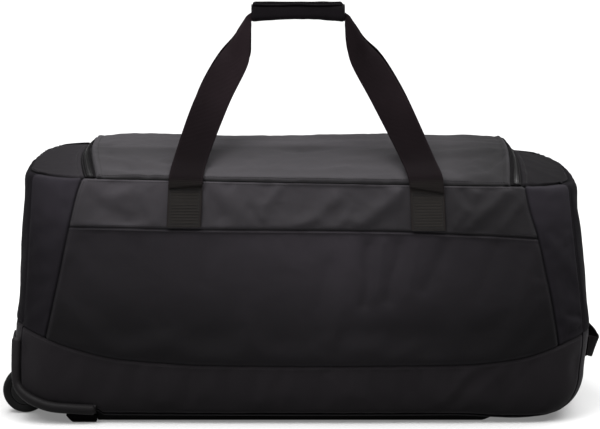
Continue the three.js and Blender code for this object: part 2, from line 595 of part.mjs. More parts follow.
for (const x of range(6, rearX0, rearX1).slice(1, -1)) {
  rearStations.push((d) => ({ x, Y: TURN_Y + ZIP.turn - d * ZIP.half, side: x < 0 ? -1 : 1 }));
}
for (const a of range(5, Math.PI / 2, 0.012)) rearStations.push((d) => turnPoint(1, a, d));
put('zip_rear', zipSolid(rearStations), ZIP_PAINT());

// Two zip sliders that meet at the middle of the rear run, each with a hanging tab.
for (const [word, sx] of [['left', -1], ['right', 1]]) {
  const x = sx * 9;
  const Y = TURN_Y + ZIP.turn;
  const base = topPoint(x, Y, zipHeight({ x, Y, side: sx }, 0));
  const up = outward(base);
  const tilt = new THREE.Quaternion().setFromUnitVectors(new THREE.Vector3(0, 0, 1), up);
  const body = new THREE.BoxGeometry(12, 7.5, 3.2).translate(0, 0, ZIP.chain + 0.6 + 1.6);
  body.applyQuaternion(tilt).translate(base.x, base.y, base.z);
  const tab = new THREE.BoxGeometry(7, 1.8, 24).translate(0, 0, -10).rotateX(0.98);
  const hang = new THREE.Vector3(0, 2.2, ZIP.chain + 3.0).applyQuaternion(tilt).add(base);
  tab.translate(hang.x, hang.y, hang.z);
  put(`zip_slider_${word}`, fromSolid(solid(body).add(solid(tab))), HUB_PAINT());
}

// ---- carry handles -------------------------------------------------------
function handleRails(sy) {
  const wallPoint = (x, z) => {
    const v = wall(along(x, z), z);
    return new THREE.Vector3(x, v.y - STRAP.off - STRAP.thick / 2, z);
  };
  const rail = (k) => {
    const left = HANDLE.map((r) => (r[`${k}y`] === undefined
      ? wallPoint(r[`${k}x`], r[`${k}z`])
      : new THREE.Vector3(r[`${k}x`], r[`${k}y`], r[`${k}z`])));
    const right = HANDLE.map((r) => {
      const x = 2 * r.shift - r[`${k}x`];
      const drop = r[`${k}y`] === undefined ? (r[`${k}z`] < 270 ? -4.5 : -5) : 0;
      return r[`${k}y`] === undefined ? wallPoint(x, r[`${k}z`] + drop) : new THREE.Vector3(x, r[`${k}y`], r[`${k}z`]);
    }).reverse();
    const pts = [...left, ...right].map((v) => (sy < 0 ? v : mirrorY(v)));
    return new THREE.CatmullRomCurve3(pts, false, 'centripetal');
  };
  return { inner: rail('i'), middle: rail('m'), outer: rail('o') };
}
// Flat band through three rails: its section is a strip, bent along the middle rail.
function band(rails, ts, thick) {
  const sections = ts.map((t) => {
    const i = rails.inner.getPoint(t); const m = rails.middle.getPoint(t); const o = rails.outer.getPoint(t);
    const along3 = rails.middle.getPoint(Math.min(1, t + 0.004)).sub(rails.middle.getPoint(Math.max(0, t - 0.004))).normalize();
    const n1 = new THREE.Vector3().subVectors(m, i).cross(along3).normalize();
    const n2 = new THREE.Vector3().subVectors(o, m).cross(along3).normalize();
    const n = n1.clone().add(n2).normalize();
    const bend = Math.min(1.6, 1 / Math.max(0.4, n.dot(n1)));
    const h = thick / 2;
    return [
      i.clone().addScaledVector(n1, h), m.clone().addScaledVector(n, h * bend), o.clone().addScaledVector(n2, h),
      o.clone().addScaledVector(n2, -h), m.clone().addScaledVector(n, -h * bend), i.clone().addScaledVector(n1, -h),
    ];
  });
  return loft(sections);
}
const handleSteps = 2 * HANDLE.length - 1;
const handleTs = [];
for (let k = 0; k <= handleSteps * 3; k += 1) {
  const t = k / (handleSteps * 3);
  const row = t * handleSteps;
  const plain = Math.min(row, handleSteps - row) < 2 || (row > HANDLE.length - 0.9 && row < HANDLE.length - 0.1);
  if (!plain || k % 3 === 0) handleTs.push(t);
}
put('handle_strap_front', band(handleRails(-1), handleTs, STRAP.thick), WEB_PAINT());
put('handle_strap_rear', band(handleRails(1), handleTs, STRAP.thick), WEB_PAINT());

// Grip wrap: a soft tube round both handles, thicker where its flap lies over it.
function gripSection(halfY, z0, z1, radius, steps, swell) {
  const pts = []; const cz = (z0 + z1) / 2; const halfZ = (z1 - z0) / 2;
  const corners = [[1, 1, 0], [-1, 1, 1], [-1, -1, 2], [1, -1, 3]];
  for (const [sy, sz, q] of corners) {
    for (const a of range(steps)) {
      const angle = (q + a) * Math.PI / 2;
      const y = sy * (halfY - radius) + radius * Math.cos(angle);
      const z = cz + sz * (halfZ - radius) + radius * Math.sin(angle);
      const w = swell ? swell(y, z - cz) : 0;
      const d = Math.hypot(y, z - cz);
      pts.push(new THREE.Vector2(y + (y / d) * w, z + ((z - cz) / d) * w));
    }
  }
  return pts;
}
// The flap comes over the top from the back and ends high on the front.
const flapSwell = (y, dz) => (dz > 6.5 && y > -15.5 ? GRIP.flap * smooth((17 - y) / 12) : 0);
const gripShape = new THREE.Shape(gripSection(GRIP.halfY, GRIP.z0, GRIP.z1 - GRIP.flap, 9, 4, flapSwell));
gripShape.holes.push(new THREE.Path(gripSection(GRIP.halfY - GRIP.wall, GRIP.z0 + GRIP.wall, GRIP.z1 - GRIP.flap - GRIP.wall, 5, 2).reverse()));
const grip = new THREE.ExtrudeGeometry(gripShape, { depth: GRIP.x1 - GRIP.x0, bevelEnabled: false, steps: 1 });
// The section lies in (y, z); the length runs along x.
grip.applyMatrix4(new THREE.Matrix4().set(0, 0, 1, GRIP.x0, 1, 0, 0, 0, 0, 1, 0, 0, 0, 0, 0, 1));
put('grip_wrap', grip, CLOTH_PAINT());

// ---- end grab handle -----------------------------------------------------
const endRows = [...END_HANDLE.slice(1).map((r) => ({ ...r, y: -r.y })).reverse(), ...END_HANDLE];
const endRail = (k) => new THREE.CatmullRomCurve3(endRows.map((r) => {
  const z = r.z + k * END_HANDLE_HALF;
  const w = endWall(1, r.y, z);
  return new THREE.Vector3(w.x + r.out + k * r.lean + STRAP.thick / 2, w.y, z);
}), false, 'centripetal');
put('end_handle', band({ inner: endRail(-1), middle: endRail(0), outer: endRail(1) }, range(18), STRAP.thick), WEB_PAINT());

// ---- wheels, pins and housings -------------------------------------------
function ring(profile, y) {
  const g = new THREE.LatheGeometry(profile.map(([r, w]) => new THREE.Vector2(r, w)), 24);
  return g.translate(WHEEL.x, y, WHEEL.z);
}
const half = WHEEL.width / 2;
const TYRE = [
  [WHEEL.hub + 0.4, -half + 2], [WHEEL.radius - 4, -half], [WHEEL.radius - 1, -half + 2.5], [WHEEL.radius, -half + 6],
  [WHEEL.radius, half - 6], [WHEEL.radius - 1, half - 2.5], [WHEEL.radius - 4, half], [WHEEL.hub + 0.4, half - 2],
  [WHEEL.hub + 0.4, -half + 2],
];
const HUB = [
  [WHEEL.bore, -half], [7.5, -half], [8.5, -half + 3], [WHEEL.hub, -half + 3],
  [WHEEL.hub, half - 3], [8.5, half - 3], [7.5, half], [WHEEL.bore, half], [WHEEL.bore, -half],
];

// Housing: a shell over the lower left corner and the front edge, with a rounded rim
// along its front border.
function housingSolid(sy) {
  const cols = ALL_LINES.filter((c) => sy * c >= END_LINES[0]);
  const rows = LOW_ROWS.filter((z) => z <= HOUSING.top);
  const xs = BASE_XS.filter((x) => x <= HOUSING.end);
  const turn = (v) => (sy < 0 ? v : mirrorY(v));
  // Two more lines close to the border carry the rim.
  const near = [[-Infinity, 1], ['rim', 3.5], ['rim', 7.5]];
  const ordered = sy < 0
    ? [...near, ...cols.slice(1).map((c) => [c, 0])]
    : [...cols.slice(0, -1).map((c) => [c, 0]), ...near.slice().reverse()];
  const end = grid(ordered, rows, ([c, d], z) => {
    const reach = endReach(z) - SEAM;
    if (c === 'rim') return endWall(-1, sy * (reach - d), z);
    return hollow(endRow(-1, z)(c === -Infinity ? sy * Infinity : c));
  });
  const under = grid(underRows(xs, false), ordered, (row, [c, d]) => {
    if (c === -Infinity) return hollow(row(sy * Infinity));
    if (c !== 'rim') return hollow(row(c));
    return hollow(row(sy * Infinity)).lerp(hollow(row(sy * END_LINES[END_LINES.length - 1])), d > 5 ? 0.66 : 0.33);
  });
  // Front strip: from the edge seam up to the rim, out to the end of the lower arm.
  const start = (z) => borderLeft(z) + SEAM;
  const columns = [
    start, ...RIM_SHARES.map((k) => (z) => lerp(start(z), along(xs[0], z), k)),
    ...xs.map((x) => (z) => along(x, z)),
  ];
  const low = rows.filter((z) => z <= RIM_TOPS[0]);
  const stripPoint = (k, z0) => {
    const drop = RIM_TOPS[0] - z0;
    const span = RIM_TOPS[0] - edgeZ;
    const z = drop < 10 ? RIM_TOPS[k] - drop * Math.min(1, (RIM_TOPS[k] - edgeZ) / 14)
      : lerp(edgeZ, RIM_TOPS[k], (z0 - edgeZ) / span * 0.72);
    const v = k === 0 ? endRow(-1, z0)(-Infinity) : wall(columns[k](z), z);
    if (k > 0 && z0 === edgeZ) v.y += SEAM;
    return turn(v);
  };
  const strip = grid(columns.map((c, k) => k), low, stripPoint);
  const border = [
    ...rows.filter((z) => z > RIM_TOPS[0]).reverse().map((z) => endRow(-1, z)(sy * Infinity)),
    ...columns.map((c, k) => stripPoint(k, RIM_TOPS[0])),
  ];
  const line = new THREE.Line3(); const hit = new THREE.Vector3();
  const rim = (v) => {
    let d = Infinity;
    for (let k = 0; k + 1 < border.length; k += 1) {
      line.set(border[k], border[k + 1]).closestPointToPoint(v, true, hit);
      d = Math.min(d, hit.distanceTo(v));
    }
    return HOUSING.rim * Math.sqrt(Math.max(0, 1 - ((d - HOUSING.rimReach / 2 + 0.4) / (HOUSING.rimReach / 2)) ** 2));
  };
  const shell = thicken(join(end, under, strip), HOUSING.gap, HOUSING.gap + HOUSING.thick, rim);
  let cut = solid(shell);
  for (const [y0, y1] of [[64, 91], [111, 140]]) cut = cut.subtract(solid(barY(WHEEL.pin + 0.4, WHEEL.x, WHEEL.z, sy * y0, sy * y1, 12)));
  return fromSolid(cut);
}

// Foot under the lower arm, with a chamfered wheel-side end.
const footShape = new THREE.Shape([
  [FOOT.x0, FOOT.high], [FOOT.x0 + FOOT.chamfer, 0], [HOUSING.end, 0], [HOUSING.end, FOOT.high],
].map(([x, z]) => new THREE.Vector2(x, z)));
for (const [word, sy] of [['front', -1], ['rear', 1]]) {
  put(`wheel_housing_${word}`, housingSolid(sy), PLASTIC_PAINT());
  const foot = new THREE.ExtrudeGeometry(footShape, { depth: FOOT.y1 - FOOT.y0, bevelEnabled: false });
  foot.rotateX(Math.PI / 2).translate(0, sy < 0 ? -FOOT.y0 : FOOT.y1, 0);
  put(`housing_foot_${word}`, foot, PLASTIC_PAINT());
  put(`axle_${word}`, barY(WHEEL.pin, WHEEL.x, WHEEL.z, sy * 70, sy * 133, 16), STEEL_PAINT());
  put(`wheel_tyre_${word}`, ring(TYRE, sy * WHEEL.y), WHEEL_PAINT());
  put(`wheel_hub_${word}`, ring(HUB, sy * WHEEL.y), HUB_PAINT());
}

// ---- skid rails ----------------------------------------------------------
const railShape = new THREE.Shape([[RAIL.x0, 0], [RAIL.foot, 0], [RAIL.x1, RAIL.high], [RAIL.x0, RAIL.high]].map(([x, z]) => new THREE.Vector2(x, z)));
for (const [word, sy] of [['front', -1], ['rear', 1]]) {
  const rail = new THREE.ExtrudeGeometry(railShape, { depth: RAIL.y1 - RAIL.y0, bevelEnabled: false });
  rail.rotateX(Math.PI / 2);
  rail.translate(0, sy < 0 ? -RAIL.y0 : RAIL.y1, 0);
  put(`skid_rail_${word}`, rail, PLASTIC_PAINT());
}

export default bag;
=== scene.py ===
import math

import bpy
import numpy as np
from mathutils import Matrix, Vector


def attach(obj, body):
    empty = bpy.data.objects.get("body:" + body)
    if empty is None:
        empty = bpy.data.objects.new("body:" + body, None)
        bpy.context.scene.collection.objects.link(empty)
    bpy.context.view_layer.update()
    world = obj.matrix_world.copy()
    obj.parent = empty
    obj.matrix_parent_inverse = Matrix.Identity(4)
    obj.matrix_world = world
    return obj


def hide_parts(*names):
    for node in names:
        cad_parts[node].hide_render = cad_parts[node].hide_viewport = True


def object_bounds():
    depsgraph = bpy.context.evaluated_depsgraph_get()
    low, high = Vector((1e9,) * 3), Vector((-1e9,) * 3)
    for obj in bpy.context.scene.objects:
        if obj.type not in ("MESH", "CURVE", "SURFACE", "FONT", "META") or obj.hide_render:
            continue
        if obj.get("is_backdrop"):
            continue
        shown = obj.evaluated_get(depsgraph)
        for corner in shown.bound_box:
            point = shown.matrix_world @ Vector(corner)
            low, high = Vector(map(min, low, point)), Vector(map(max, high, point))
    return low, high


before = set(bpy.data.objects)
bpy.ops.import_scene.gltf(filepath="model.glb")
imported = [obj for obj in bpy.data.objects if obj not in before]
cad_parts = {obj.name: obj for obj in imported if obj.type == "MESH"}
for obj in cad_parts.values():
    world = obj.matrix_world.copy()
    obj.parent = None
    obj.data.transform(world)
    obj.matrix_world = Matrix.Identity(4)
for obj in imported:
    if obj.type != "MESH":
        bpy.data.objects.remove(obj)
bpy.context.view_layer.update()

# ---- sizes shared with the part --------------------------------------------------------
CENTRE_X = 3.0
CLOTH = 2.0
FLOOR = 8.5
FOOT_LEFT, FOOT_RIGHT, FOOT_FRONT, SHOULDER = 40.0, 52.0, 14.0, 12.0
FRONT_CROWN, END_CROWN, BORDER_ANGLE, EDGE_LEVEL = 8.0, 12.0, 1.02, 4.1
ARCH, HALF_TOP = 2.4, 160.0
HUMP = {-1: (11.5, 2.5), 1: (18.0, 1.3)}
ZIP_X = {-1: -287.5, 1: 282.0}
ZIP_HALF, ZIP_TURN, ZIP_CHAIN = 6.0, 44.0, 1.3
STRAP_THICK, STRAP_OFF = 2.2, 1.1
GRIP_X0, GRIP_X1, GRIP_Z0, GRIP_Z1, GRIP_HALF = -67.0, 58.0, 512.0, 538.4, 17.0
WHEEL = (-366.5, 101.0, 30.3)
WHEEL_R, WHEEL_W, HUB_R, PIN_R = 30.0, 24.0, 19.0, 3.0
WELL_N, WELL_REACH = (-0.7, -0.714), 196.7
WELL_IN0, WELL_IN1, WELL_OUT1, WELL_OUT0 = 72.0, 84.0, 118.0, 130.0
HOUSING_GAP, HOUSING_THICK, RIM_HIGH, RIM_REACH, HOUSING_TOP, HOUSING_END = 1.2, 3.0, 7.0, 10.5, 103.0, -268.0
EDGE_Z = FLOOR + EDGE_LEVEL


def rows(*pairs):
    a = np.array(pairs, float)
    return a[:, 0], a[:, 1]


Z_ROWS = [8.5, 60, 105, 126, 160, 220, 260, 300, 330]
LEFT = (np.array(Z_ROWS, float), np.array([-383.0, -383.4, -382.2, -380.4, -376.6, -372.5, -370.3, -368.4, -367.0]))
RIGHT = (np.array(Z_ROWS, float), np.array([377.0, 379.0, 383.4, 383.8, 380.6, 374.0, 369.7, 366.2, 364.2]))
DEPTH = (np.array(Z_ROWS, float), np.array([170.0, 175, 179, 180, 181, 178, 173, 165, 157]))
CORNER = (np.array(Z_ROWS, float), np.array([40.0, 45, 50, 52, 56, 60, 63, 66, 68]))
BASE_SEAM = rows((-440, 128.5), (-380, 128), (-364, 125), (-345, 119.9), (-331, 115), (-312, 107), (-286, 98.7), (-260, 92), (-235, 87.5), (-183, 82.8),
                 (-131, 80), (0, 78.5), (127, 79), (205, 80), (257, 84), (295, 91), (326, 102), (350, 111), (385, 117), (440, 117))
POCKET_SEAM = rows((-310, 260.8), (-233, 259.9), (-130, 258), (0, 257.3), (126, 255.4), (190, 252), (254, 249), (312, 245))
SLANT_LEFT = rows((100, -335), (118, -331), (200, -312), (260.6, -299), (295, -291), (308, -287.3), (326, -280.5))
SLANT_RIGHT = rows((90, 335), (109, 332.6), (172, 321.5), (205, 313.8), (245, 304.6), (285, 292.5), (316, 286.3))
LID_RISE = rows((-300, 23.5), (-284, 25.5), (-262, 29.5), (-209, 32), (0, 36.5), (160, 39), (232, 38), (262, 37), (300, 34.5))
# inner x, y, z; fold line x, y, z; outer x, y, z; mirror line. A depth of None lies on the wall.
HANDLE = [
    (-129, None, 261.5, -151, None, 261.5, -173, None, 261.5, 6),
    (-128, None, 286, -150, None, 286, -172, None, 286, 6),
    (-127, None, 311, -149, None, 311, -171, None, 311, 6),
    (-126, -164, 323, -148, -164.5, 323.5, -170, -164, 324, 5.5),
    (-122, -124, 341, -144, -124, 342, -166, -124, 343, 3.5),
    (-94, -76, 411, -117, -76, 414, -140, -76, 417, -1),
    (-69.8, -46, 461, -92, -47, 466, -112, -44, 466, -2.5),
    (-68.2, -34, 481, -86.5, -35, 493, -97.5, -26, 482, -4),
    (-67.6, -21, 502, -77.2, -20, 510.5, -82.2, -11, 499, -4.5),
    (-66, -12.4, 513.5, -70.5, -10, 519.5, -72, -6.2, 513, -4.5),
    (-52, -12, 517, -52, -9.4, 527, -52, -6, 517, -4.5),
]
END_HANDLE = [(0, 72.5, 18.6, 3.4), (24, 73.0, 18.3, 3.4), (46, 75.5, 15.2, 2.8), (60, 79.5, 9.2, 1.9), (70, 83.5, 3.2, 0.7),
              (76, 85.5, 0.8, 0), (92, 86.5, 0.8, 0)]
END_HANDLE_HALF = 13.4
RIM_TOPS = [48, 38.5, 31.5, 26.8, 25.2, 23.8, 22.8]
RIM_R, RIM_IN = 6.5, (4.4, 5.4)

# Folds: panel, from (a, b) to (a, b), width and height.
FOLDS = [
    ("yoke", -124, 309, -105, 276, 13, -2.5), ("yoke", 43, 296, -2, 262, 15, 2.6), ("yoke", 128, 308, 73, 264, 15, 3.0),
    ("yoke", 224, 302, 196, 262, 14, 2.6), ("yoke", 262, 306, 216, 262, 13, 2.4),
    ("yoke", -66, 283, -51, 261, 9, -1.2), ("yoke", 64, 287, 50, 263, 7, 1.2), ("yoke", 282, 290, 257, 257, 8, 1.3),
    ("yoke", 205, 306, 214, 288, 7, -1.2), ("yoke", -270, 300, -225, 268, 16, -1.4), ("yoke", -205, 304, -190, 270, 10, 1.0),
    ("yoke", -30, 312, -44, 290, 9, 0.9), ("yoke", 100, 316, 108, 300, 8, -1.1),
    ("pocket", 86, 238, 82, 160, 12, -4.2), ("pocket", 126, 238, 112, 166, 12, -3.6), ("pocket", 186, 240, 160, 180, 14, -3.0),
    ("pocket", 36, 214, 22, 160, 16, -2.0), ("pocket", 106, 240, 95, 170, 9, 1.6), ("pocket", 150, 236, 136, 176, 9, 1.3),
    ("pocket", -210, 236, -190, 150, 22, -1.6), ("pocket", -120, 240, -128, 190, 15, -1.3), ("pocket", 250, 236, 226, 170, 14, -1.6),
    ("pocket", -270, 200, -180, 120, 26, 1.4), ("pocket", 200, 130, 280, 160, 22, 1.2), ("pocket", -40, 120, 60, 108, 22, 1.2),
    ("lid", -126, -123, -2, -66, 22, -3.0), ("lid", -2, -66, 128, -110, 22, -3.0), ("lid", -252, -85, -222, -138, 15, -2.6),
    ("lid", 221, -124, 247, -66, 13, 2.4), ("lid", 241, -131, 267, -87, 8, -2.6), ("lid", 205, -140, 236, -70, 12, -1.6), ("lid", -240, -30, -215, -110, 12, 1.2),
    ("lid", -170, 40, 60, 70, 30, -2.0), ("lid", -60, -30, 110, 20, 24, 1.6), ("lid", 150, 90, 230, 10, 18, -1.8),
    ("lid", -20, -140, 60, -128, 9, 1.0), ("lid", -225, 90, -140, 60, 16, 1.4),
    ("tray", 220, 70, 182, 30, 13, 1.8), ("tray", 258, 72, 200, 16, 14, 1.8), ("tray", 300, 80, 262, 40, 12, -1.4),
    ("tray", -200, 66, -140, 34, 20, 1.0), ("tray", 40, 62, 90, 36, 20, 0.9),
    ("gusset_r", 344, 146, 372, 140, 5, -1.8), ("gusset_r", 346, 122, 380, 127, 4.5, -2.0), ("gusset_r", 350, 134, 376, 133, 6, 1.2),
    ("back", -120, 300, -60, 160, 26, -2.4), ("back", 90, 290, 120, 130, 22, -2.8), ("back", 210, 260, 170, 120, 22, 2.0),
    ("back", -230, 250, -200, 130, 24, 1.8), ("back", 0, 240, 20, 120, 20, 1.6),
]
FOLD_GAIN = {"yoke": 1.5, "lid": 1.35, "tray": 1.2}


# ---- small tools -------------------------------------------------------------------------
def smooth(t):
    c = np.clip(t, 0, 1)
    return c * c * (3 - 2 * c)


def read(tab, at):
    xs, ys = tab
    n = len(xs)
    s = np.diff(ys) / np.diff(xs)
    t = np.empty(n)
    t[0], t[-1] = s[0], s[-1]
    a, b = s[:-1], s[1:]
    both = a * b > 0
    t[1:-1] = np.where(both, 2 * a * b / np.where(both, a + b, 1), 0)
    c = np.clip(np.asarray(at, float), xs[0], xs[-1])
    i = np.clip(np.searchsorted(xs, c, side="left") - 1, 0, n - 2)
    h = xs[i + 1] - xs[i]
    k = (c - xs[i]) / h
    k2, k3 = k * k, k * k * k
    return (2 * k3 - 3 * k2 + 1) * ys[i] + (k3 - 2 * k2 + k) * h * t[i] + (3 * k2 - 2 * k3) * ys[i + 1] + (k3 - k2) * h * t[i + 1]


def rounding(height, radius):
    k = np.clip(radius - np.maximum(0, height), 0, radius)
    return radius - np.sqrt(radius * radius - k * k)


def lid_seam(x):
    return 318.3 - 0.0184 * (np.asarray(x, float) + 4.5)


def seam_top(p):
    return lid_seam(np.clip(p, -345, 340))


def base_seam(p):
    return read(BASE_SEAM, p)


def pocket_seam(p):
    return read(POCKET_SEAM, p)


def section(z):
    z = np.asarray(z, float)
    h = z - FLOOR
    left = read(LEFT, z) + rounding(h, FOOT_LEFT) + rounding(lid_seam(-365) - z, SHOULDER) + END_CROWN
    right = read(RIGHT, z) - rounding(h, FOOT_RIGHT) - rounding(lid_seam(360) - z, SHOULDER) - END_CROWN
    depth = read(DEPTH, z) - rounding(h, FOOT_FRONT) - FRONT_CROWN
    return left, right, depth, read(CORNER, z)


def wall(p, z):
    p, z = np.broadcast_arrays(np.asarray(p, float), np.asarray(z, float))
    left, right, depth, r = section(z)
    pl, pr = left + r, right - r
    low, high = p < pl, p > pr
    past = np.where(low, pl - p, np.where(high, p - pr, 0.0))
    side = np.where(low, -1.0, 1.0)
    a = past / r
    x1 = np.where(low, pl, pr) + side * r * np.sin(np.minimum(a, math.pi / 2))
    y1 = -(depth - r) - r * np.cos(np.minimum(a, math.pi / 2)) + np.maximum(0, a - math.pi / 2) * r
    x = np.where(past > 0, x1, p)
    y = np.where(past > 0, y1, -depth)
    mid, half = (left + right) / 2, (right - left) / 2
    u, v = (x - mid) / half, y / depth
    return np.stack([x + np.sign(u) * END_CROWN * (1 - v * v) * u * u, y - FRONT_CROWN * (1 - u * u) * v * v, z], -1)


def along(x, z):
    x, z = np.broadcast_arrays(np.asarray(x, float), np.asarray(z, float))
    left, right, _, r = section(z)
    lo = np.where(x < 0, left + r - r * 1.5, 0.0)
    hi = np.where(x < 0, 0.0, right - r + r * 1.5)
    for _ in range(40):
        m = (lo + hi) / 2
        less = wall(m, z)[..., 0] < x
        lo, hi = np.where(less, m, lo), np.where(less, hi, m)
    return (lo + hi) / 2


Z_FINE = np.linspace(60, 335, 551)
SLANT_P = {-1: along(read(SLANT_LEFT, Z_FINE), Z_FINE), 1: along(read(SLANT_RIGHT, Z_FINE), Z_FINE)}


def slant(side):
    return lambda z: np.interp(z, Z_FINE, SLANT_P[side])


def border(side):
    def at(z):
        left, right, _, r = section(z)
        return left + r * (1 - BORDER_ANGLE) if side < 0 else right - r * (1 - BORDER_ANGLE)
    return at


def end_wall(side, dist, z):
    dist, z = np.broadcast_arrays(np.asarray(dist, float), np.asarray(z, float))
    left, right, depth, r = section(z)
    run = r * math.pi / 2 + (depth - r) - np.abs(dist)
    v = wall(left + r - run if side < 0 else right - r + run, z)
    v[..., 1] = np.where(dist > 0, -v[..., 1], v[..., 1])
    return v


def end_reach(z):
    _, _, depth, r = section(z)
    return depth - r + r * (math.pi / 2 - BORDER_ANGLE)


def outward(v):
    d = v - np.stack([np.clip(v[..., 0], -300, 300), np.clip(v[..., 1], -100, 100), np.clip(v[..., 2], 90, 260)], -1)
    return d / np.maximum(np.linalg.norm(d, axis=-1, keepdims=True), 1e-9)


def flip_y(v):
    return v * np.array([1, -1, 1.0])


LATTICE = np.random.RandomState(7).rand(64, 128, 128)


def value_noise(x, y, seed=0):
    """Smooth noise from -1 to 1 with one cell a unit."""
    t = LATTICE[seed % 64]
    i, j = np.floor(x).astype(int), np.floor(y).astype(int)
    a, b = smooth(x - i), smooth(y - j)
    g = lambda p, q: t[p % 128, q % 128]
    low = g(i, j) * (1 - a) + g(i + 1, j) * a
    high = g(i, j + 1) * (1 - a) + g(i + 1, j + 1) * a
    return 2 * (low * (1 - b) + high * b) - 1


ANGLES = np.random.RandomState(11).rand(64, 128, 128) * 2 * math.pi


def gradient_noise(x, y, seed=0):
    """Smooth noise round zero with one cell a unit, about -0.7 to 0.7."""
    g = ANGLES[seed % 64]
    i, j = np.floor(x).astype(int), np.floor(y).astype(int)
    fx, fy = x - i, y - j

    def corner(di, dj):
        a = g[(i + di) % 128, (j + dj) % 128]
        return np.cos(a) * (fx - di) + np.sin(a) * (fy - dj)

    u, v = fx ** 3 * (fx * (fx * 6 - 15) + 10), fy ** 3 * (fy * (fy * 6 - 15) + 10)
    return (corner(0, 0) * (1 - u) + corner(1, 0) * u) * (1 - v) + (corner(0, 1) * (1 - u) + corner(1, 1) * u) * v


def crumple(a, b, seed, cell):
    """Creases of cloth that has been packed: soft dents that meet along crisp ridges."""
    wa = a + 0.4 * cell * gradient_noise(a / (1.3 * cell) + 7.3, b / (1.3 * cell), seed + 1)
    wb = b + 0.4 * cell * gradient_noise(a / (1.3 * cell), b / (1.3 * cell) + 3.1, seed + 2)
    ridge = lambda n: 0.75 - 3.0 * np.sqrt(n * n + 0.0012)
    one = ridge(gradient_noise(wa / cell, wb / (0.85 * cell), seed + 3))
    two = ridge(gradient_noise(wa / (0.45 * cell) + 5.5, wb / (0.38 * cell), seed + 4))
    return 0.65 * one + 0.35 * two


CREASED = {"yoke": (0.9, 42), "pocket": (0.6, 60), "back": (0.8, 60), "gusset": (0.6, 46), "tray": (0.5, 60)}


def fold(on, a, b):
    total = np.zeros(np.broadcast(a, b).shape)
    for k, (name, a0, b0, a1, b1, width, high) in enumerate(FOLDS):
        if name != on:
            continue
        da, db = a1 - a0, b1 - b0
        long = math.hypot(da, db)
        # The stroke wanders a little, and fades towards its ends.
        t = ((a - a0) * da + (b - b0) * db) / (long * long)
        off = ((a - a0) * db - (b - b0) * da) / long
        off = off + 2.5 * value_noise(t * long / 28 + 3.1 * k, np.full_like(t, 0.37 * k), k)
        past = np.maximum(0, np.maximum(-t, t - 1)) * long
        d2 = (off / width) ** 2 + (past / (0.9 * width)) ** 2
        crest = np.exp(-d2) * 0.6 + 0.4 * np.exp(-4.0 * d2)
        total += high * crest * FOLD_GAIN.get(name, 1.0)
    return total


def bare(x):
    return smooth((np.abs(x + 150) - 27) / 10) * smooth((np.abs(x - 162) - 28) / 10)


def lines(length, step, edge=(0, 0.7, 1.5, 2.6, 4.2, 6.4, 9.0)):
    """Shares from 0 to 1 across a length, closer together at both ends."""
    near = np.array(edge) / length
    inner = max(2, int(round((length - 2 * edge[-1]) / step)))
    mid = np.linspace(near[-1], 1 - near[-1], inner + 1)
    return np.concatenate([near[:-1], mid, 1 - near[:-1][::-1]])


def normals(P):
    du, dv = np.gradient(P, axis=0), np.gradient(P, axis=1)
    n = np.cross(du, dv)
    n /= np.maximum(np.linalg.norm(n, axis=-1, keepdims=True), 1e-9)
    if (n * outward(P)).sum() < 0:
        n = -n
    return n


# ---- meshes ----------------------------------------------------------------------------
made = {}


def to_m(v):
    return (np.asarray(v, float) - np.array([CENTRE_X, 0, 0])) / 1000.0


def paint(o, name, values):
    o.data.attributes.new(name, "FLOAT", "POINT").data.foreach_set("value", np.asarray(values, np.float32).ravel())


def make(name, verts, quads, uv=None, tris=(), edge=None, angle=45.0):
    quads = np.asarray(quads, np.int32).reshape(-1, 4)
    tris = np.asarray(tris, np.int32).reshape(-1, 3)
    co = to_m(verts)
    me = bpy.data.meshes.new(name)
    me.vertices.add(len(co))
    me.vertices.foreach_set("co", co.astype(np.float32).ravel())
    loop_v = np.concatenate([quads.ravel(), tris.ravel()])
    me.loops.add(len(loop_v))
    me.loops.foreach_set("vertex_index", loop_v)
    me.polygons.add(len(quads) + len(tris))
    me.polygons.foreach_set("loop_start", np.concatenate([np.arange(len(quads)) * 4, 4 * len(quads) + np.arange(len(tris)) * 3]).astype(np.int32))
    me.polygons.foreach_set("use_smooth", np.ones(len(quads) + len(tris), bool))
    if uv is not None:
        layer = me.uv_layers.new(name="map")
        layer.data.foreach_set("uv", (np.asarray(uv, float) / 1000.0)[loop_v].astype(np.float32).ravel())
    if edge is not None:
        me.attributes.new("edge", "FLOAT", "POINT").data.foreach_set("value", np.asarray(edge, np.float32).ravel())
    me.update(calc_edges=True)
    me.validate()
    if angle:
        me.set_sharp_from_angle(angle=math.radians(angle))
    o = bpy.data.objects.new(name, me)
    bpy.context.scene.collection.objects.link(o)
    made[name] = o
    return o


def volume(v, quads, tris=()):
    quads = np.asarray(quads).reshape(-1, 4)
    t = np.concatenate([quads[:, [0, 1, 2]], quads[:, [0, 2, 3]], np.asarray(tris, int).reshape(-1, 3)])
    a, b, c = v[t[:, 0]], v[t[:, 1]], v[t[:, 2]]
    return (a * np.cross(b, c)).sum() / 6


def grid_quads(nu, nv, start=0, wrap_u=False, wrap_v=False):
    i = np.arange(nu if wrap_u else nu - 1)
    j = np.arange(nv if wrap_v else nv - 1)
    I, J = np.meshgrid(i, j, indexing="ij")
    a = I * nv + J
    b = ((I + 1) % nu) * nv + J
    c = ((I + 1) % nu) * nv + (J + 1) % nv
    d = I * nv + (J + 1) % nv
    return np.stack([a, b, c, d], -1).reshape(-1, 4) + start


def rim_loop(nu, nv):
    top = [i * nv for i in range(nu)]
    side = [(nu - 1) * nv + j for j in range(1, nv)]
    back = [i * nv + nv - 1 for i in range(nu - 2, -1, -1)]
    last = [j for j in range(nv - 2, 0, -1)]
    return np.array(top + side + back + last)


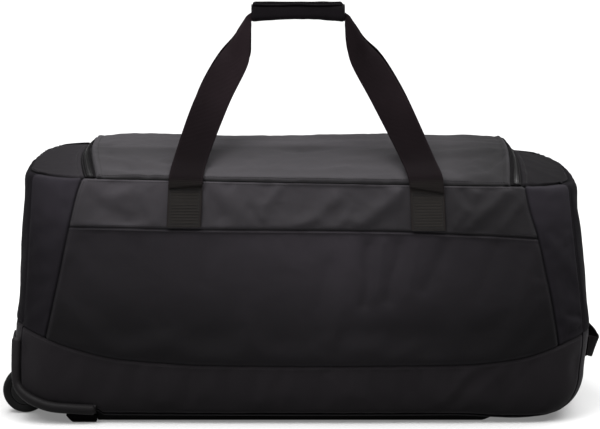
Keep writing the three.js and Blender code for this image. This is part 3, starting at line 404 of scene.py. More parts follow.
def sheet_mesh(name, P, N, thick, uv, edge=None, angle=50.0):
    """A closed cloth wall: the outer face, an inner face and the rim."""
    nu, nv = P.shape[:2]
    n = nu * nv
    verts = np.concatenate([P.reshape(-1, 3), (P - N * thick).reshape(-1, 3)])
    q = grid_quads(nu, nv)
    loop = rim_loop(nu, nv)
    nxt = np.roll(loop, -1)
    rim = np.stack([nxt, loop, loop + n, nxt + n], -1)
    quads = np.concatenate([q, q[:, ::-1] + n, rim])
    if volume(verts, quads) < 0:
        quads = quads[:, ::-1]
    uvs = np.concatenate([uv.reshape(-1, 2)] * 2)
    e = None if edge is None else np.concatenate([edge.ravel(), np.zeros(n)])
    return make(name, verts, quads, uvs, edge=e, angle=angle)


def loft(name, S, uv=None, closed=True, cap=True, edge=None, angle=45.0):
    """A tube through sections S (stations, points, 3), each a ring."""
    ns, n = S.shape[:2]
    verts = S.reshape(-1, 3)
    quads = grid_quads(ns, n, wrap_v=closed)
    tris = []
    uvs = None if uv is None else uv.reshape(-1, 2)
    e = None if edge is None else edge.ravel()
    if cap:
        c0, c1 = len(verts), len(verts) + 1
        verts = np.concatenate([verts, S[0].mean(0)[None], S[-1].mean(0)[None]])
        k = np.arange(n)
        m = (k + 1) % n
        last = (ns - 1) * n
        tris = np.concatenate([np.stack([np.full(n, c0), k, m], -1), np.stack([np.full(n, c1), last + m, last + k], -1)])
        if uvs is not None:
            uvs = np.concatenate([uvs, uvs[:1], uvs[-1:]])
        if e is not None:
            e = np.concatenate([e, e[:1], e[-1:]])
    if volume(verts, quads, tris) < 0:
        quads = quads[:, ::-1]
        tris = np.asarray(tris).reshape(-1, 3)[:, ::-1]
    return make(name, verts, quads, uvs, tris, e, angle)


def tube_sections(path, radius, sides=10, squash=1.0, up=None):
    """Rings round a path of points; up is the outward direction at each point."""
    path = np.asarray(path, float)
    t = np.gradient(path, axis=0)
    t /= np.maximum(np.linalg.norm(t, axis=1, keepdims=True), 1e-9)
    if up is None:
        up = np.tile(np.array([0, 0, 1.0]), (len(path), 1))
    side = np.cross(t, up)
    side /= np.maximum(np.linalg.norm(side, axis=1, keepdims=True), 1e-9)
    nrm = np.cross(side, t)
    a = np.linspace(0, 2 * math.pi, sides, endpoint=False)
    r = np.broadcast_to(np.asarray(radius, float), (len(path),))[:, None, None]
    return path[:, None] + r * (np.cos(a)[None, :, None] * side[:, None] + squash * np.sin(a)[None, :, None] * nrm[:, None])


def arc_lengths(path):
    return np.concatenate([[0], np.cumsum(np.linalg.norm(np.diff(path, axis=0), axis=1))])


def even(path, step, extra=None):
    s = arc_lengths(path)
    n = max(2, int(round(s[-1] / step)) + 1)
    at = np.linspace(0, s[-1], n)
    out = np.stack([np.interp(at, s, path[:, k]) for k in range(3)], -1)
    if extra is None:
        return out
    return out, np.stack([np.interp(at, s, extra[:, k]) for k in range(3)], -1)


def bilinear(us, vs, G, u, v):
    """Reads a grid at shares (u, v)."""
    fi = np.interp(u, us, np.arange(len(us)))
    fj = np.interp(v, vs, np.arange(len(vs)))
    i, j = np.minimum(fi.astype(int), len(us) - 2), np.minimum(fj.astype(int), len(vs) - 2)
    a, b = (fi - i)[..., None], (fj - j)[..., None]
    return (G[i, j] * (1 - a) + G[i + 1, j] * a) * (1 - b) + (G[i, j + 1] * (1 - a) + G[i + 1, j + 1] * a) * b


stitch_parts = []


def stitch_line(path, normal, pitch=3.6, length=2.7, radius=0.36):
    """Short raised threads along a line on the cloth."""
    s = arc_lengths(path)
    if s[-1] < 2 * pitch:
        return
    at = np.arange(pitch, s[-1] - pitch / 2, pitch)
    get = lambda q, g: np.stack([np.interp(q, s, g[:, k]) for k in range(3)], -1)
    a, b = get(at - length / 2, path), get(at + length / 2, path)
    n = get(at, normal)
    n /= np.maximum(np.linalg.norm(n, axis=1, keepdims=True), 1e-9)
    t = b - a
    t /= np.maximum(np.linalg.norm(t, axis=1, keepdims=True), 1e-9)
    w = np.cross(t, n)
    shares, widths, lifts = [0, 0.28, 0.72, 1], [0.45, 1.0, 1.0, 0.45], [-0.25, 0.36, 0.36, -0.25]
    rings = []
    ang = np.linspace(0, 2 * math.pi, 6, endpoint=False)
    for k, wd, lf in zip(shares, widths, lifts):
        c = a + (b - a) * k + n * (lf * radius * 1.6)
        rings.append(c[:, None] + radius * wd * (np.cos(ang)[None, :, None] * w[:, None] + np.sin(ang)[None, :, None] * n[:, None]))
    stitch_parts.append(np.stack(rings, 1))  # (stitches, 4 rings, 6, 3)


def build_stitches(name):
    S = np.concatenate(stitch_parts)
    m = len(S)
    per = 4 * 6
    verts = S.reshape(-1, 3)
    q0 = grid_quads(4, 6, wrap_v=True)
    caps = np.array([[0, 1, 2, 3], [0, 3, 4, 5], [18 + 3, 18 + 2, 18 + 1, 18], [18 + 5, 18 + 4, 18 + 3, 18]])
    one = np.concatenate([q0, caps])
    v0 = S[0].reshape(-1, 3)
    if volume(v0, q0) < 0:
        one = np.concatenate([q0[:, ::-1], caps])
    if volume(v0, one) < volume(v0, np.concatenate([one[:-4], caps[:, ::-1]])):
        one = np.concatenate([one[:-4], caps[:, ::-1]])
    quads = (one[None] + (np.arange(m) * per)[:, None, None]).reshape(-1, 4)
    stitch_parts.clear()
    return make(name, verts, quads, verts[:, [0, 2]], angle=0)


def finish_piece(o, body, nodes, material):
    o.data.materials.clear()
    o.data.materials.append(material)
    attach(o, body)
    if nodes:
        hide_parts(*nodes)
    return o


# ---- materials -------------------------------------------------------------------------
class Nodes:
    def __init__(self, name):
        self.mat = bpy.data.materials.new(name)
        self.mat.use_nodes = True
        self.t = self.mat.node_tree
        self.t.nodes.clear()
        self.out = self.t.nodes.new("ShaderNodeOutputMaterial")
        self.bsdf = self.t.nodes.new("ShaderNodeBsdfPrincipled")
        self.t.links.new(self.bsdf.outputs[0], self.out.inputs[0])

    def add(self, kind, **props):
        n = self.t.nodes.new(kind)
        for k, v in props.items():
            setattr(n, k, v)
        return n

    def put(self, socket, value):
        if isinstance(value, bpy.types.NodeSocket):
            self.t.links.new(value, socket)
        else:
            socket.default_value = value

    def math(self, op, a, b=0.0, c=None, clamp=False):
        n = self.add("ShaderNodeMath", operation=op, use_clamp=clamp)
        self.put(n.inputs[0], a)
        self.put(n.inputs[1], b)
        if c is not None:
            self.put(n.inputs[2], c)
        return n.outputs[0]

    def noise(self, vector, scale, detail=3.0, rough=0.55):
        n = self.add("ShaderNodeTexNoise")
        self.put(n.inputs["Vector"], vector)
        n.inputs["Scale"].default_value = scale
        n.inputs["Detail"].default_value = detail
        n.inputs["Roughness"].default_value = rough
        return n.outputs["Fac"]

    def ramp(self, fac, stops):
        n = self.add("ShaderNodeValToRGB")
        e = n.color_ramp.elements
        while len(e) < len(stops):
            e.new(0.5)
        for k, (pos, col) in enumerate(stops):
            e[k].position = pos
            e[k].color = (*col, 1.0)
        self.put(n.inputs[0], fac)
        return n.outputs[0]

    def mix(self, fac, a, b, blend="MIX"):
        n = self.add("ShaderNodeMix", data_type="RGBA", blend_type=blend)
        self.put(n.inputs[0], fac)
        self.put(n.inputs[6], a if isinstance(a, bpy.types.NodeSocket) else (*a, 1.0))
        self.put(n.inputs[7], b if isinstance(b, bpy.types.NodeSocket) else (*b, 1.0))
        return n.outputs[2]

    def span(self, value, a, b, lo, hi):
        n = self.add("ShaderNodeMapRange")
        self.put(n.inputs[0], value)
        for k, v in enumerate((a, b, lo, hi)):
            n.inputs[k + 1].default_value = v
        return n.outputs[0]

    def bump(self, height, strength, distance, normal=None):
        n = self.add("ShaderNodeBump")
        n.inputs["Strength"].default_value = strength
        n.inputs["Distance"].default_value = distance
        self.put(n.inputs["Height"], height)
        if normal is not None:
            self.put(n.inputs["Normal"], normal)
        return n.outputs[0]


def tint(col, k):
    return tuple(c * k for c in col)


def painted_falloff(m, base, obj, along_x=None, along_z=None):
    """Painted light and shade: tone multipliers along and up the piece, given as stops, brighter where the light falls
    more and darker where it falls less.
    """
    place = m.add("ShaderNodeSeparateXYZ")
    m.put(place.inputs[0], obj)
    for axis, stops in ((0, along_x), (2, along_z)):
        if stops:
            lo, hi = stops[0][0], stops[-1][0]
            grey = m.ramp(m.span(place.outputs[axis], lo, hi, 0.0, 1.0), [((q - lo) / (hi - lo), (k_ / 2, k_ / 2, k_ / 2)) for q, k_ in stops])
            base = m.mix(1.0, base, grey, "MULTIPLY")
            base = m.mix(1.0, base, base, "ADD")
    return base


def fabric(name, col, rough=0.78, sheen=0.25, weave=0.85, depth=0.16, coat=0.0, spec=0.35, mottle=0.16, along_x=None, along_z=None):
    """Plain woven cloth: over and under yarns, patchy dye, lighter rubbed edges, painted shade along the seams and
    painted light and shade along and up the piece.
    """
    m = Nodes(name)
    uv = m.add("ShaderNodeUVMap", uv_map="map").outputs[0]
    obj = m.add("ShaderNodeTexCoord").outputs["Object"]
    sep = m.add("ShaderNodeSeparateXYZ")
    m.put(sep.inputs[0], uv)
    k = 2 * math.pi / (weave / 1000)
    slub = m.noise(obj, 420, 2.0)
    su = m.math("SINE", m.math("MULTIPLY_ADD", slub, 1.1, m.math("MULTIPLY", sep.outputs[0], k)))
    sv = m.math("SINE", m.math("MULTIPLY_ADD", slub, 1.1, m.math("MULTIPLY", sep.outputs[1], k)))
    yarn = m.math("MULTIPLY_ADD", m.math("MULTIPLY", su, sv), 0.5, 0.5)
    cloud = m.noise(obj, 16, 4.0, 0.6)
    fine = m.noise(obj, 130, 3.0, 0.6)
    shade = m.math("ADD", m.math("MULTIPLY", m.math("SUBTRACT", cloud, 0.5), 2 * mottle), m.math("MULTIPLY", m.math("SUBTRACT", fine, 0.5), mottle))
    shade = m.math("ADD", shade, m.math("MULTIPLY", m.math("SUBTRACT", yarn, 0.5), 0.3))
    base = m.ramp(m.math("ADD", shade, 0.5, clamp=True), [(0.0, tint(col, 0.55)), (0.5, col), (1.0, tint(col, 1.5))])
    worn = m.add("ShaderNodeAttribute", attribute_name="edge").outputs["Fac"]
    worn = m.math("MULTIPLY", worn, m.span(fine, 0.3, 0.75, 0.2, 1.0))
    # painted shade: the crease attribute darkens the colour along the seams, standing in for the shadow in the seam's
    # groove
    painted_seam_shade = m.math("MULTIPLY", m.add("ShaderNodeAttribute", attribute_name="crease").outputs["Fac"], 0.8, clamp=True)
    base = m.mix(painted_seam_shade, base, tint(col, 0.08))
    base = painted_falloff(m, base, obj, along_x, along_z)
    m.put(m.bsdf.inputs["Base Color"], m.mix(worn, base, tint(col, 2.1)))
    m.put(m.bsdf.inputs["Roughness"], m.span(m.math("ADD", m.math("MULTIPLY", cloud, 0.5), m.math("MULTIPLY", yarn, 0.5)), 0.2, 0.8, rough - 0.07, min(1.0, rough + 0.08)))
    m.bsdf.inputs["Specular IOR Level"].default_value = spec
    m.bsdf.inputs["Sheen Weight"].default_value = sheen
    m.bsdf.inputs["Sheen Roughness"].default_value = 0.45
    m.bsdf.inputs["Sheen Tint"].default_value = (0.96, 0.94, 1.0, 1.0)
    if coat:
        m.bsdf.inputs["Coat Weight"].default_value = coat
        m.bsdf.inputs["Coat Roughness"].default_value = 0.5
    soft = m.bump(m.noise(obj, 55, 3.0, 0.55), 0.35, 0.0011)
    m.put(m.bsdf.inputs["Normal"], m.bump(m.math("MULTIPLY_ADD", slub, 0.35, yarn), 0.55, depth / 1000, soft))
    return m.mat


def webbing(name, col, rough=0.8, rib=1.9, depth=0.3, sheen=0.2, spec=0.1, sewn=None, along_x=None, along_z=None):
    """Heavy tape: ribs across it, warp lines along it, firm edges and painted light and shade along and up it."""
    m = Nodes(name)
    uv = m.add("ShaderNodeUVMap", uv_map="map").outputs[0]
    obj = m.add("ShaderNodeTexCoord").outputs["Object"]
    sep = m.add("ShaderNodeSeparateXYZ")
    m.put(sep.inputs[0], uv)
    slub = m.noise(obj, 500, 2.0)
    across = m.math("SINE", m.math("MULTIPLY", sep.outputs[0], 2 * math.pi / 0.0014))
    zig = m.math("MULTIPLY", across, 0.45)
    ribs = m.math("SINE", m.math("ADD", m.math("MULTIPLY", sep.outputs[1], 2 * math.pi / (rib / 1000)), m.math("ADD", zig, slub)))
    high = m.math("ADD", m.math("MULTIPLY_ADD", ribs, 0.4, 0.5), m.math("MULTIPLY", across, 0.12))
    cloud = m.noise(obj, 30, 4.0, 0.6)
    shade = m.math("ADD", m.math("MULTIPLY", m.math("SUBTRACT", high, 0.5), 0.35), m.math("MULTIPLY", m.math("SUBTRACT", cloud, 0.5), 0.35))
    base = m.ramp(m.math("ADD", shade, 0.5, clamp=True), [(0.0, tint(col, 0.5)), (0.5, col), (1.0, tint(col, 1.6))])
    if sewn is not None:  # the sewn ends lie flat and are a little faded; just past the bar tack the same lighter colour is a painted highlight on the lip
        flat = m.add("ShaderNodeAttribute", attribute_name="sewn").outputs["Fac"]
        faded = m.ramp(m.math("ADD", shade, 0.5, clamp=True), [(0.0, tint(sewn, 0.5)), (0.5, sewn), (1.0, tint(sewn, 1.6))])
        base = m.mix(flat, base, faded)
    base = painted_falloff(m, base, obj, along_x, along_z)
    worn = m.add("ShaderNodeAttribute", attribute_name="edge").outputs["Fac"]
    m.put(m.bsdf.inputs["Base Color"], m.mix(m.math("MULTIPLY", worn, m.span(slub, 0.3, 0.7, 0.3, 1.0)), base, tint(col, 2.3)))
    m.put(m.bsdf.inputs["Roughness"], m.span(high, 0, 1, min(1, rough + 0.1), rough - 0.08))
    m.bsdf.inputs["Specular IOR Level"].default_value = spec
    m.bsdf.inputs["Sheen Weight"].default_value = sheen
    m.bsdf.inputs["Sheen Roughness"].default_value = 0.5
    m.put(m.bsdf.inputs["Normal"], m.bump(high, 0.7, depth / 1000))
    return m.mat


def plastic(name, col, rough=0.5, grain=0.5, depth=0.08, spec=0.5, wear=0.5, along_z=None):
    """Moulded plastic: fine spark grain, faint scuffs, paler rubbed edges and, where stops are given, painted light and
    shade up the piece.
    """
    m = Nodes(name)
    obj = m.add("ShaderNodeTexCoord").outputs["Object"]
    fine = m.noise(obj, 1000 / grain, 2.0, 0.5)
    cloud = m.noise(obj, 40, 4.0, 0.6)
    stretch = m.add("ShaderNodeMapping")
    m.put(stretch.inputs["Vector"], obj)
    stretch.inputs["Scale"].default_value = (60, 420, 420)
    scuff = m.noise(stretch.outputs[0], 1.0, 5.0, 0.7)
    point = m.add("ShaderNodeNewGeometry").outputs["Pointiness"]
    edge = m.math("MULTIPLY", m.span(point, 0.52, 0.62, 0.0, 1.0), m.span(cloud, 0.35, 0.7, 0.2, 1.0))
    shade = m.math("ADD", m.math("MULTIPLY", m.math("SUBTRACT", cloud, 0.5), 0.5), m.math("MULTIPLY", m.math("SUBTRACT", fine, 0.5), 0.25))
    base = m.ramp(m.math("ADD", shade, 0.5, clamp=True), [(0.0, tint(col, 0.6)), (0.5, col), (1.0, tint(col, 1.45))])
    marks = m.math("MULTIPLY", m.span(scuff, 0.62, 0.78, 0.0, 0.35), wear)
    base = painted_falloff(m, m.mix(marks, base, tint(col, 2.4)), obj, None, along_z)
    m.put(m.bsdf.inputs["Base Color"], m.mix(m.math("MULTIPLY", edge, wear), base, tint(col, 3.0)))
    m.put(m.bsdf.inputs["Roughness"], m.span(m.math("ADD", cloud, m.math("MULTIPLY", marks, 1.2)), 0.3, 0.9, rough - 0.06, rough + 0.12))
    m.bsdf.inputs["Specular IOR Level"].default_value = spec
    m.put(m.bsdf.inputs["Normal"], m.bump(fine, 0.5, depth / 1000))
    return m.mat


def metal(name, col, rough=0.3):
    m = Nodes(name)
    obj = m.add("ShaderNodeTexCoord").outputs["Object"]
    stretch = m.add("ShaderNodeMapping")
    m.put(stretch.inputs["Vector"], obj)
    stretch.inputs["Scale"].default_value = (2500, 60, 2500)
    brush = m.noise(stretch.outputs[0], 1.0, 3.0, 0.6)
    m.bsdf.inputs["Metallic"].default_value = 1.0
    m.put(m.bsdf.inputs["Base Color"], m.ramp(brush, [(0.3, tint(col, 0.75)), (0.7, col)]))
    m.put(m.bsdf.inputs["Roughness"], m.span(brush, 0.3, 0.7, rough - 0.06, rough + 0.12))
    m.put(m.bsdf.inputs["Normal"], m.bump(brush, 0.2, 0.00005))
    return m.mat


# One black cloth makes the body: its pocket, gusset, end-wall and shoulder copies get darker base colours as painted
# shade, and every along_x and along_z stop below is painted light and shade.
M_LID = fabric("lid_cloth", (0.0119, 0.0110, 0.0121), rough=0.80, sheen=0.035, spec=0.07, along_x=((-0.29, 0.86), (-0.2, 0.94), (-0.06, 1.05), (0.05, 1.05), (0.19, 0.72), (0.235, 0.38), (0.29, 0.2)), along_z=((0.315, 1.5), (0.335, 1.38), (0.347, 1.0), (0.349, 1.05), (0.3515, 1.58)))
M_BODY = fabric("body_cloth", (0.0126, 0.0114, 0.0129), rough=0.78, sheen=0.05, spec=0.09, along_x=((-0.31, 0.88), (-0.255, 1.25), (0.05, 1.05), (0.20, 0.54), (0.31, 0.46)), along_z=((0.255, 0.9), (0.285, 1.0), (0.315, 1.5)))
M_POCKET_SHADED = fabric("pocket_cloth_painted_shade", (0.0068, 0.0059, 0.0071), rough=0.80, sheen=0.03, spec=0.07,
                  along_x=((-0.34, 0.70), (-0.18, 0.94), (0.06, 1.72), (0.20, 1.05), (0.34, 0.56)), along_z=((0.08, 0.34), (0.13, 0.42), (0.19, 0.98), (0.25, 1.32)))
M_SIDE_SHADED = fabric("side_cloth_painted_shade", (0.0052, 0.0046, 0.0057), rough=0.80, sheen=0.01, spec=0.03, along_x=((-0.375, 0.50), (-0.355, 0.78), (-0.33, 1.1), (-0.28, 1.28), (0.28, 1.3), (0.37, 1.05)), along_z=((0.13, 0.86), (0.235, 1.0), (0.315, 1.9)))
M_END_SHADED = fabric("end_cloth", (0.0033, 0.0029, 0.0036), rough=0.86, sheen=0.005, spec=0.02)
M_SHOULDER_SHADED = fabric("shoulder_cloth_painted_shade", (0.0049, 0.0044, 0.0050), rough=0.84, sheen=0.01, spec=0.025, along_x=((-0.38, 1.05), (-0.31, 1.55), (-0.28, 1.95), (0.28, 0.88), (0.38, 0.46)))
# painted light and shade on the tray: lighter in the middle, darker towards its lower edge where it turns under
M_BASE = fabric("base_cloth", (0.0052, 0.0044, 0.0052), rough=0.78, sheen=0.02, weave=1.15, depth=0.24, spec=0.07, along_x=((-0.36, 1.04), (-0.16, 1.05), (0.0, 1.28), (0.16, 1.15), (0.36, 1.0)),
                along_z=((0.012, 0.3), (0.020, 0.42), (0.030, 0.6), (0.045, 0.86), (0.075, 1.03)))
# painted light and shade on the straps: lighter higher up, more so on the left strap than the right
M_WEB = webbing("webbing", (0.0025, 0.0017, 0.0020), sheen=0.0, spec=0.015, sewn=(0.0114, 0.0104, 0.0097),
                along_x=((-0.13, 1.0), (-0.09, 1.5), (-0.07, 1.6), (0.07, 0.74), (0.095, 0.86), (0.13, 1.12)), along_z=((0.30, 0.95), (0.345, 0.95), (0.42, 1.8), (0.52, 1.75)))
M_TAPE = webbing("zip_tape", (0.0019, 0.0016, 0.0019), rib=1.3, depth=0.15, sheen=0.005, spec=0.03)
# painted light and shade on the grip: darker at the top, lighter below; the flap over the top is a darker copy of the
# grip cloth, painted shade
M_GRIP = fabric("grip_cloth", (0.0027, 0.0022, 0.0027), rough=0.78, sheen=0.01, spec=0.03, along_z=((0.512, 1.9), (0.526, 1.5), (0.538, 0.4)))
M_FLAP_SHADED = fabric("flap_cloth_painted_shade", (0.0012, 0.0009, 0.0012), rough=0.85, sheen=0.0, spec=0.012, mottle=0.3)
# painted shade: the end handle is a darker copy of the webbing
M_GRAB_SHADED = webbing("end_webbing", (0.0017, 0.0012, 0.0014), sheen=0.0, spec=0.02)
# painted shade: the piping darkens towards the bottom
M_PIPING = fabric("piping_cloth", (0.0038, 0.0034, 0.0039), rough=0.8, sheen=0.01, spec=0.03, along_z=((0.012, 0.15), (0.03, 0.3), (0.06, 1.0)))
M_THREAD = webbing("thread", (0.0080, 0.0076, 0.0080), rough=0.65, rib=0.6, depth=0.06, sheen=0.02, spec=0.08)
M_HOUSING = plastic("housing_plastic", (0.0034, 0.0031, 0.0034), rough=0.6, spec=0.06)
# painted light: the rim lightens towards its top
M_RIM = plastic("rim_plastic", (0.0042, 0.0038, 0.0041), rough=0.6, spec=0.06, along_z=((0.02, 0.85), (0.045, 0.95), (0.085, 1.9)))
M_FOOT = plastic("foot_plastic", (0.0010, 0.0009, 0.0010), rough=0.7, wear=0.4, spec=0.02)
M_RAIL = plastic("rail_plastic", (0.0020, 0.0019, 0.0020), rough=0.6, wear=0.35, spec=0.05)
M_TEETH = plastic("zip_teeth", (0.0060, 0.0058, 0.0060), rough=0.4, grain=0.3, depth=0.03, wear=0.6, spec=0.14)
M_SLIDER = plastic("zip_slider", (0.0045, 0.0045, 0.0046), rough=0.36, grain=0.3, depth=0.02, wear=0.7, spec=0.2)
M_TREAD = plastic("wheel_tread", (0.0030, 0.0030, 0.0031), rough=0.65, grain=0.8, depth=0.12, wear=0.5, spec=0.08)
M_HUB = plastic("wheel_hub", (0.0035, 0.0035, 0.0036), rough=0.5, spec=0.12)
M_STEEL = metal("axle_steel", (0.55, 0.55, 0.57))

# ---- cloth panels ----------------------------------------------------------------------
panels = {}


def roll(d, depth=1.9, width=1.7, swell=0.28):
    """A sewn edge turns in sharply towards its seam, with a soft swell beside it."""
    return -1.35 * depth * np.exp(-((d / width) ** 2)) + swell * depth * np.exp(-(((d - 3 * width) / (1.5 * width)) ** 2))


def pucker(s, d, seed, high=0.55, cell=11.0, reach=11.0):
    """Small gathers that stand away from a seam and die out."""
    n = value_noise(s / cell, np.full_like(s, seed * 1.7), seed) + 0.5 * value_noise(s / (cell * 0.43), d / 20 + seed, seed + 9)
    return high * n * np.exp(-d / reach) * smooth(d / 3.0)


def drift(a, b, seed, high, cell=(70, 55)):
    """Broad unevenness of filled cloth."""
    return high * (value_noise(a / cell[0] + seed, b / cell[1], seed) + 0.45 * value_noise(a / (cell[0] * 0.42), b / (cell[1] * 0.42) + seed, seed + 5))


def side_grid(us, vs, p_low, p_high, z_low, z_high):
    u, v = np.meshgrid(us, vs, indexing="ij")
    p, z = np.full(u.shape, (p_low(180.0) + p_high(180.0)) / 2), np.full(u.shape, 180.0)
    for _ in range(8):
        z = z_low(p) * (1 - v) + z_high(p) * v
        p = p_low(z) * (1 - u) + p_high(z) * u
    return p, z


def side_panel(key, name, nodes, mat, slot_name, wide, high, step, p_low, p_high, z_low, z_high, sy, on=None, shape=None, depths=(1.9, 1.9, 1.9, 1.9)):
    us, vs = lines(wide, step), lines(high, step)
    p, z = side_grid(us, vs, p_low, p_high, z_low, z_high)
    P0 = wall(p, z)
    d = {"low": np.maximum(0, z - z_low(p)), "top": np.maximum(0, z_high(p) - z), "left": np.maximum(0, p - p_low(z)), "right": np.maximum(0, p_high(z) - p)}
    nearest = np.minimum(np.minimum(d["low"], d["top"]), np.minimum(d["left"], d["right"]))
    seed = 1 + sum(ord(c) for c in key) % 50
    h = roll(d["low"], depths[0]) + roll(d["top"], depths[1], swell=0.0 if on in ("yoke", "back") else 0.28) + roll(d["left"], depths[2]) + roll(d["right"], depths[3])
    h = np.maximum(h, -3.0)
    full = [min(1.0, k / 1.2) for k in depths]
    h += full[0] * pucker(p, d["low"], seed) + full[1] * pucker(p, d["top"], seed + 1) + full[2] * pucker(z, d["left"], seed + 2) + full[3] * pucker(z, d["right"], seed + 3)
    h += drift(p, z, seed, 0.9) * smooth(nearest / 25)
    high_, cell = CREASED[key.split("_")[0]]
    h += high_ * crumple(p, z, seed, cell) * smooth(nearest / 14) * (bare(p) if on in ("yoke", "back") else 1)
    if on:
        h += fold(on, p, z) * smooth(nearest / 10) * (bare(p) if on in ("yoke", "back") else 1)
    if shape is not None:
        h += shape(p, z, d)
    panels[key] = dict(us=us, vs=vs, p=p, z=z, P0=P0, N0=normals(P0), h=h, d=d, sy=sy, name=name, nodes=nodes, mat=mat, slot=slot_name,
                       p_low=p_low, p_high=p_high, z_low=z_low, z_high=z_high, near=nearest)


# Sides whose seam gets a painted shade line, and the rubbed band beside it, where that isn't all four.
SEAM_SIDES = {"end_left": ("low", "top"), "end_right": ("low", "top"),
              "gusset_left_front": ("low", "top", "right"), "gusset_left_rear": ("low", "top", "right"),
              "gusset_right_front": ("low", "top", "left"), "gusset_right_rear": ("low", "top", "left")}
# How dark and how wide that painted seam shade is, where it differs from (0.82, 1.6).
SEAM_SHADE_LINE = {("lid", "low"): (1.25, 2.6), ("yoke", "top"): (1.25, 1.6), ("back", "top"): (1.25, 1.6), ("pocket", "low"): (0.4, 1.6),
             ("gusset", "low"): (0.45, 1.6), ("tray", "top"): (0.4, 1.6), ("end", "low"): (0.4, 1.6)}


def low_sag(P):
    """Past the rails the base hangs a little lower; beside the wheels it is a little higher."""
    x, z = P[..., 0], P[..., 2]
    outer = smooth((np.abs(P[..., 1]) - 149) / 10)  # beside the rails it begins earlier
    drop = 4.0 * smooth((x - 252 + 58 * outer) / (30 + 50 * outer)) * smooth((75 - z) / 55)
    # Under the guard it clears the floor by more.
    lift = 5.5 * smooth((-257 - x) / 11) * smooth((46 - z) / 34)
    return np.stack([x, P[..., 1], z - drop + lift], -1)


def finish_panel(key):
    g = panels[key]
    P = g["P0"] + g["N0"] * g["h"][..., None]
    if "shift" in g:
        P = P + g["shift"]
    if key.startswith("tray"):
        P = low_sag(P)
    N = normals(P)
    if g.get("sy", -1) > 0:
        P, N = flip_y(P), flip_y(N)
    g["P"], g["N"] = P, N
    sides = SEAM_SIDES.get(key, ("low", "top", "left", "right"))
    to_seam = np.min([g["d"][k] for k in sides], 0)
    edge = np.clip(0.3 * np.exp(-((to_seam - 3.4) / 1.6) ** 2), 0, 1)
    o = sheet_mesh(g["name"], P, N, CLOTH, np.stack([g["p"], g["z"]], -1), edge)
    finish_piece(o, "bag", g["nodes"], g["mat"])
    # painted shade along the seams, carried by the crease attribute
    dark = {k: SEAM_SHADE_LINE.get((key.split("_")[0], k), (0.82, 1.6)) for k in sides}
    painted_seam_shade = np.max([dark[k][0] * np.exp(-((g["d"][k] / dark[k][1]) ** 2)) for k in sides], 0).ravel()
    paint(o, "crease", np.concatenate([painted_seam_shade, painted_seam_shade]))
    return o


def panel_at(key, p, z):
    """Point and normal on a finished side panel."""
    g = panels[key]
    u = (p - g["p_low"](z)) / (g["p_high"](z) - g["p_low"](z))
    v = (z - g["z_low"](p)) / (g["z_high"](p) - g["z_low"](p))
    return bilinear(g["us"], g["vs"], g["P"], u, v), bilinear(g["us"], g["vs"], g["N"], u, v)


def welt(p, z, d):
    """The pocket's top edge: a folded band with a groove under it."""
    return -1.5 * np.exp(-(((d["top"] - 5.2) / 1.1) ** 2)) + 0.5 * np.exp(-(((d["top"] - 2.8) / 1.4) ** 2))


S = 3.0
side_panel("yoke", "yoke", ["front_yoke"], M_BODY, "body_cloth", 600, 64, 2.8, slant(-1), slant(1), pocket_seam, seam_top, -1, "yoke", depths=(1.6, 2.3, 1.6, 1.6))
side_panel("pocket", "pocket", ["front_pocket"], M_POCKET_SHADED, "body_cloth", 640, 170, S, slant(-1), slant(1), base_seam, pocket_seam, -1, "pocket", shape=welt, depths=(1.1, 1.5, 1.6, 1.6))
side_panel("back", "back_wall", ["back_panel"], M_BODY, "body_cloth", 640, 235, 4.0, slant(-1), slant(1), base_seam, seam_top, 1, "back")
for word, sy in (("front", -1), ("rear", 1)):
    for lr, side in (("left", -1), ("right", 1)):
        low, high = (border(side), slant(side)) if side < 0 else (slant(side), border(side))
        side_panel(f"gusset_{lr}_{word}", f"corner_{lr}_{word}", [f"gusset_{lr}_{word}"], M_SIDE_SHADED, "body_cloth", 62, 200, S if sy < 0 else 4.0, low, high, base_seam, seam_top, sy,
                   on="gusset_r" if side > 0 and sy < 0 else None, depths=(1.1, 1.7, 0.0, 1.6) if side < 0 else (1.1, 1.7, 1.6, 0.35))
for word, sy in (("front", -1), ("rear", 1)):
    side_panel(f"tray_{word}", f"tray_{word}", [f"base_{'front' if sy < 0 else 'back'}"], M_BASE, "base_cloth", 800, 76, S if sy < 0 else 4.0,
               border(-1), border(1), lambda p: np.full(np.shape(p), EDGE_Z), base_seam, sy, "tray", depths=(1.6, 0.9, 0.8, 0.8))


# End walls.
def end_panel(side):
    low, high = float(base_seam(side * 440.0)), float(seam_top(side * 400.0))
    us, vs = lines(300, 4.0), lines(200, 4.0)
    u, v = np.meshgrid(us, vs, indexing="ij")
    z = low + (high - low) * v
    reach = end_reach(z)
    dist = (2 * u - 1) * reach
    P0 = end_wall(side, dist, z)
    d = {"low": z - low, "top": high - z, "left": dist + reach, "right": reach - dist}
    near = np.minimum(np.minimum(d["low"], d["top"]), np.minimum(d["left"], d["right"]))
    seed = 21 + side
    h = np.maximum(sum(roll(d[k], 1.3 if k in ("low", "top") else 0.0 if side < 0 else 0.35) for k in d), -2.6) + pucker(dist, d["low"], seed) + pucker(dist, d["top"], seed + 2)
    h += drift(dist, z, seed, 0.6) * smooth(near / 30) + 0.35 * crumple(dist, z, seed, 55) * smooth(near / 14)
    word = "left" if side < 0 else "right"
    panels[f"end_{word}"] = dict(us=us, vs=vs, p=dist, z=z, P0=P0, N0=normals(P0), h=h, d=d, sy=-1, name=f"end_{word}", nodes=[f"end_panel_{word}"],
                                 mat=M_END_SHADED, slot="body_cloth", near=near,
                                 p_low=lambda zz: -end_reach(zz), p_high=lambda zz: end_reach(zz),
                                 z_low=lambda pp: np.full(np.shape(pp), low), z_high=lambda pp: np.full(np.shape(pp), high))


end_panel(-1)
end_panel(1)


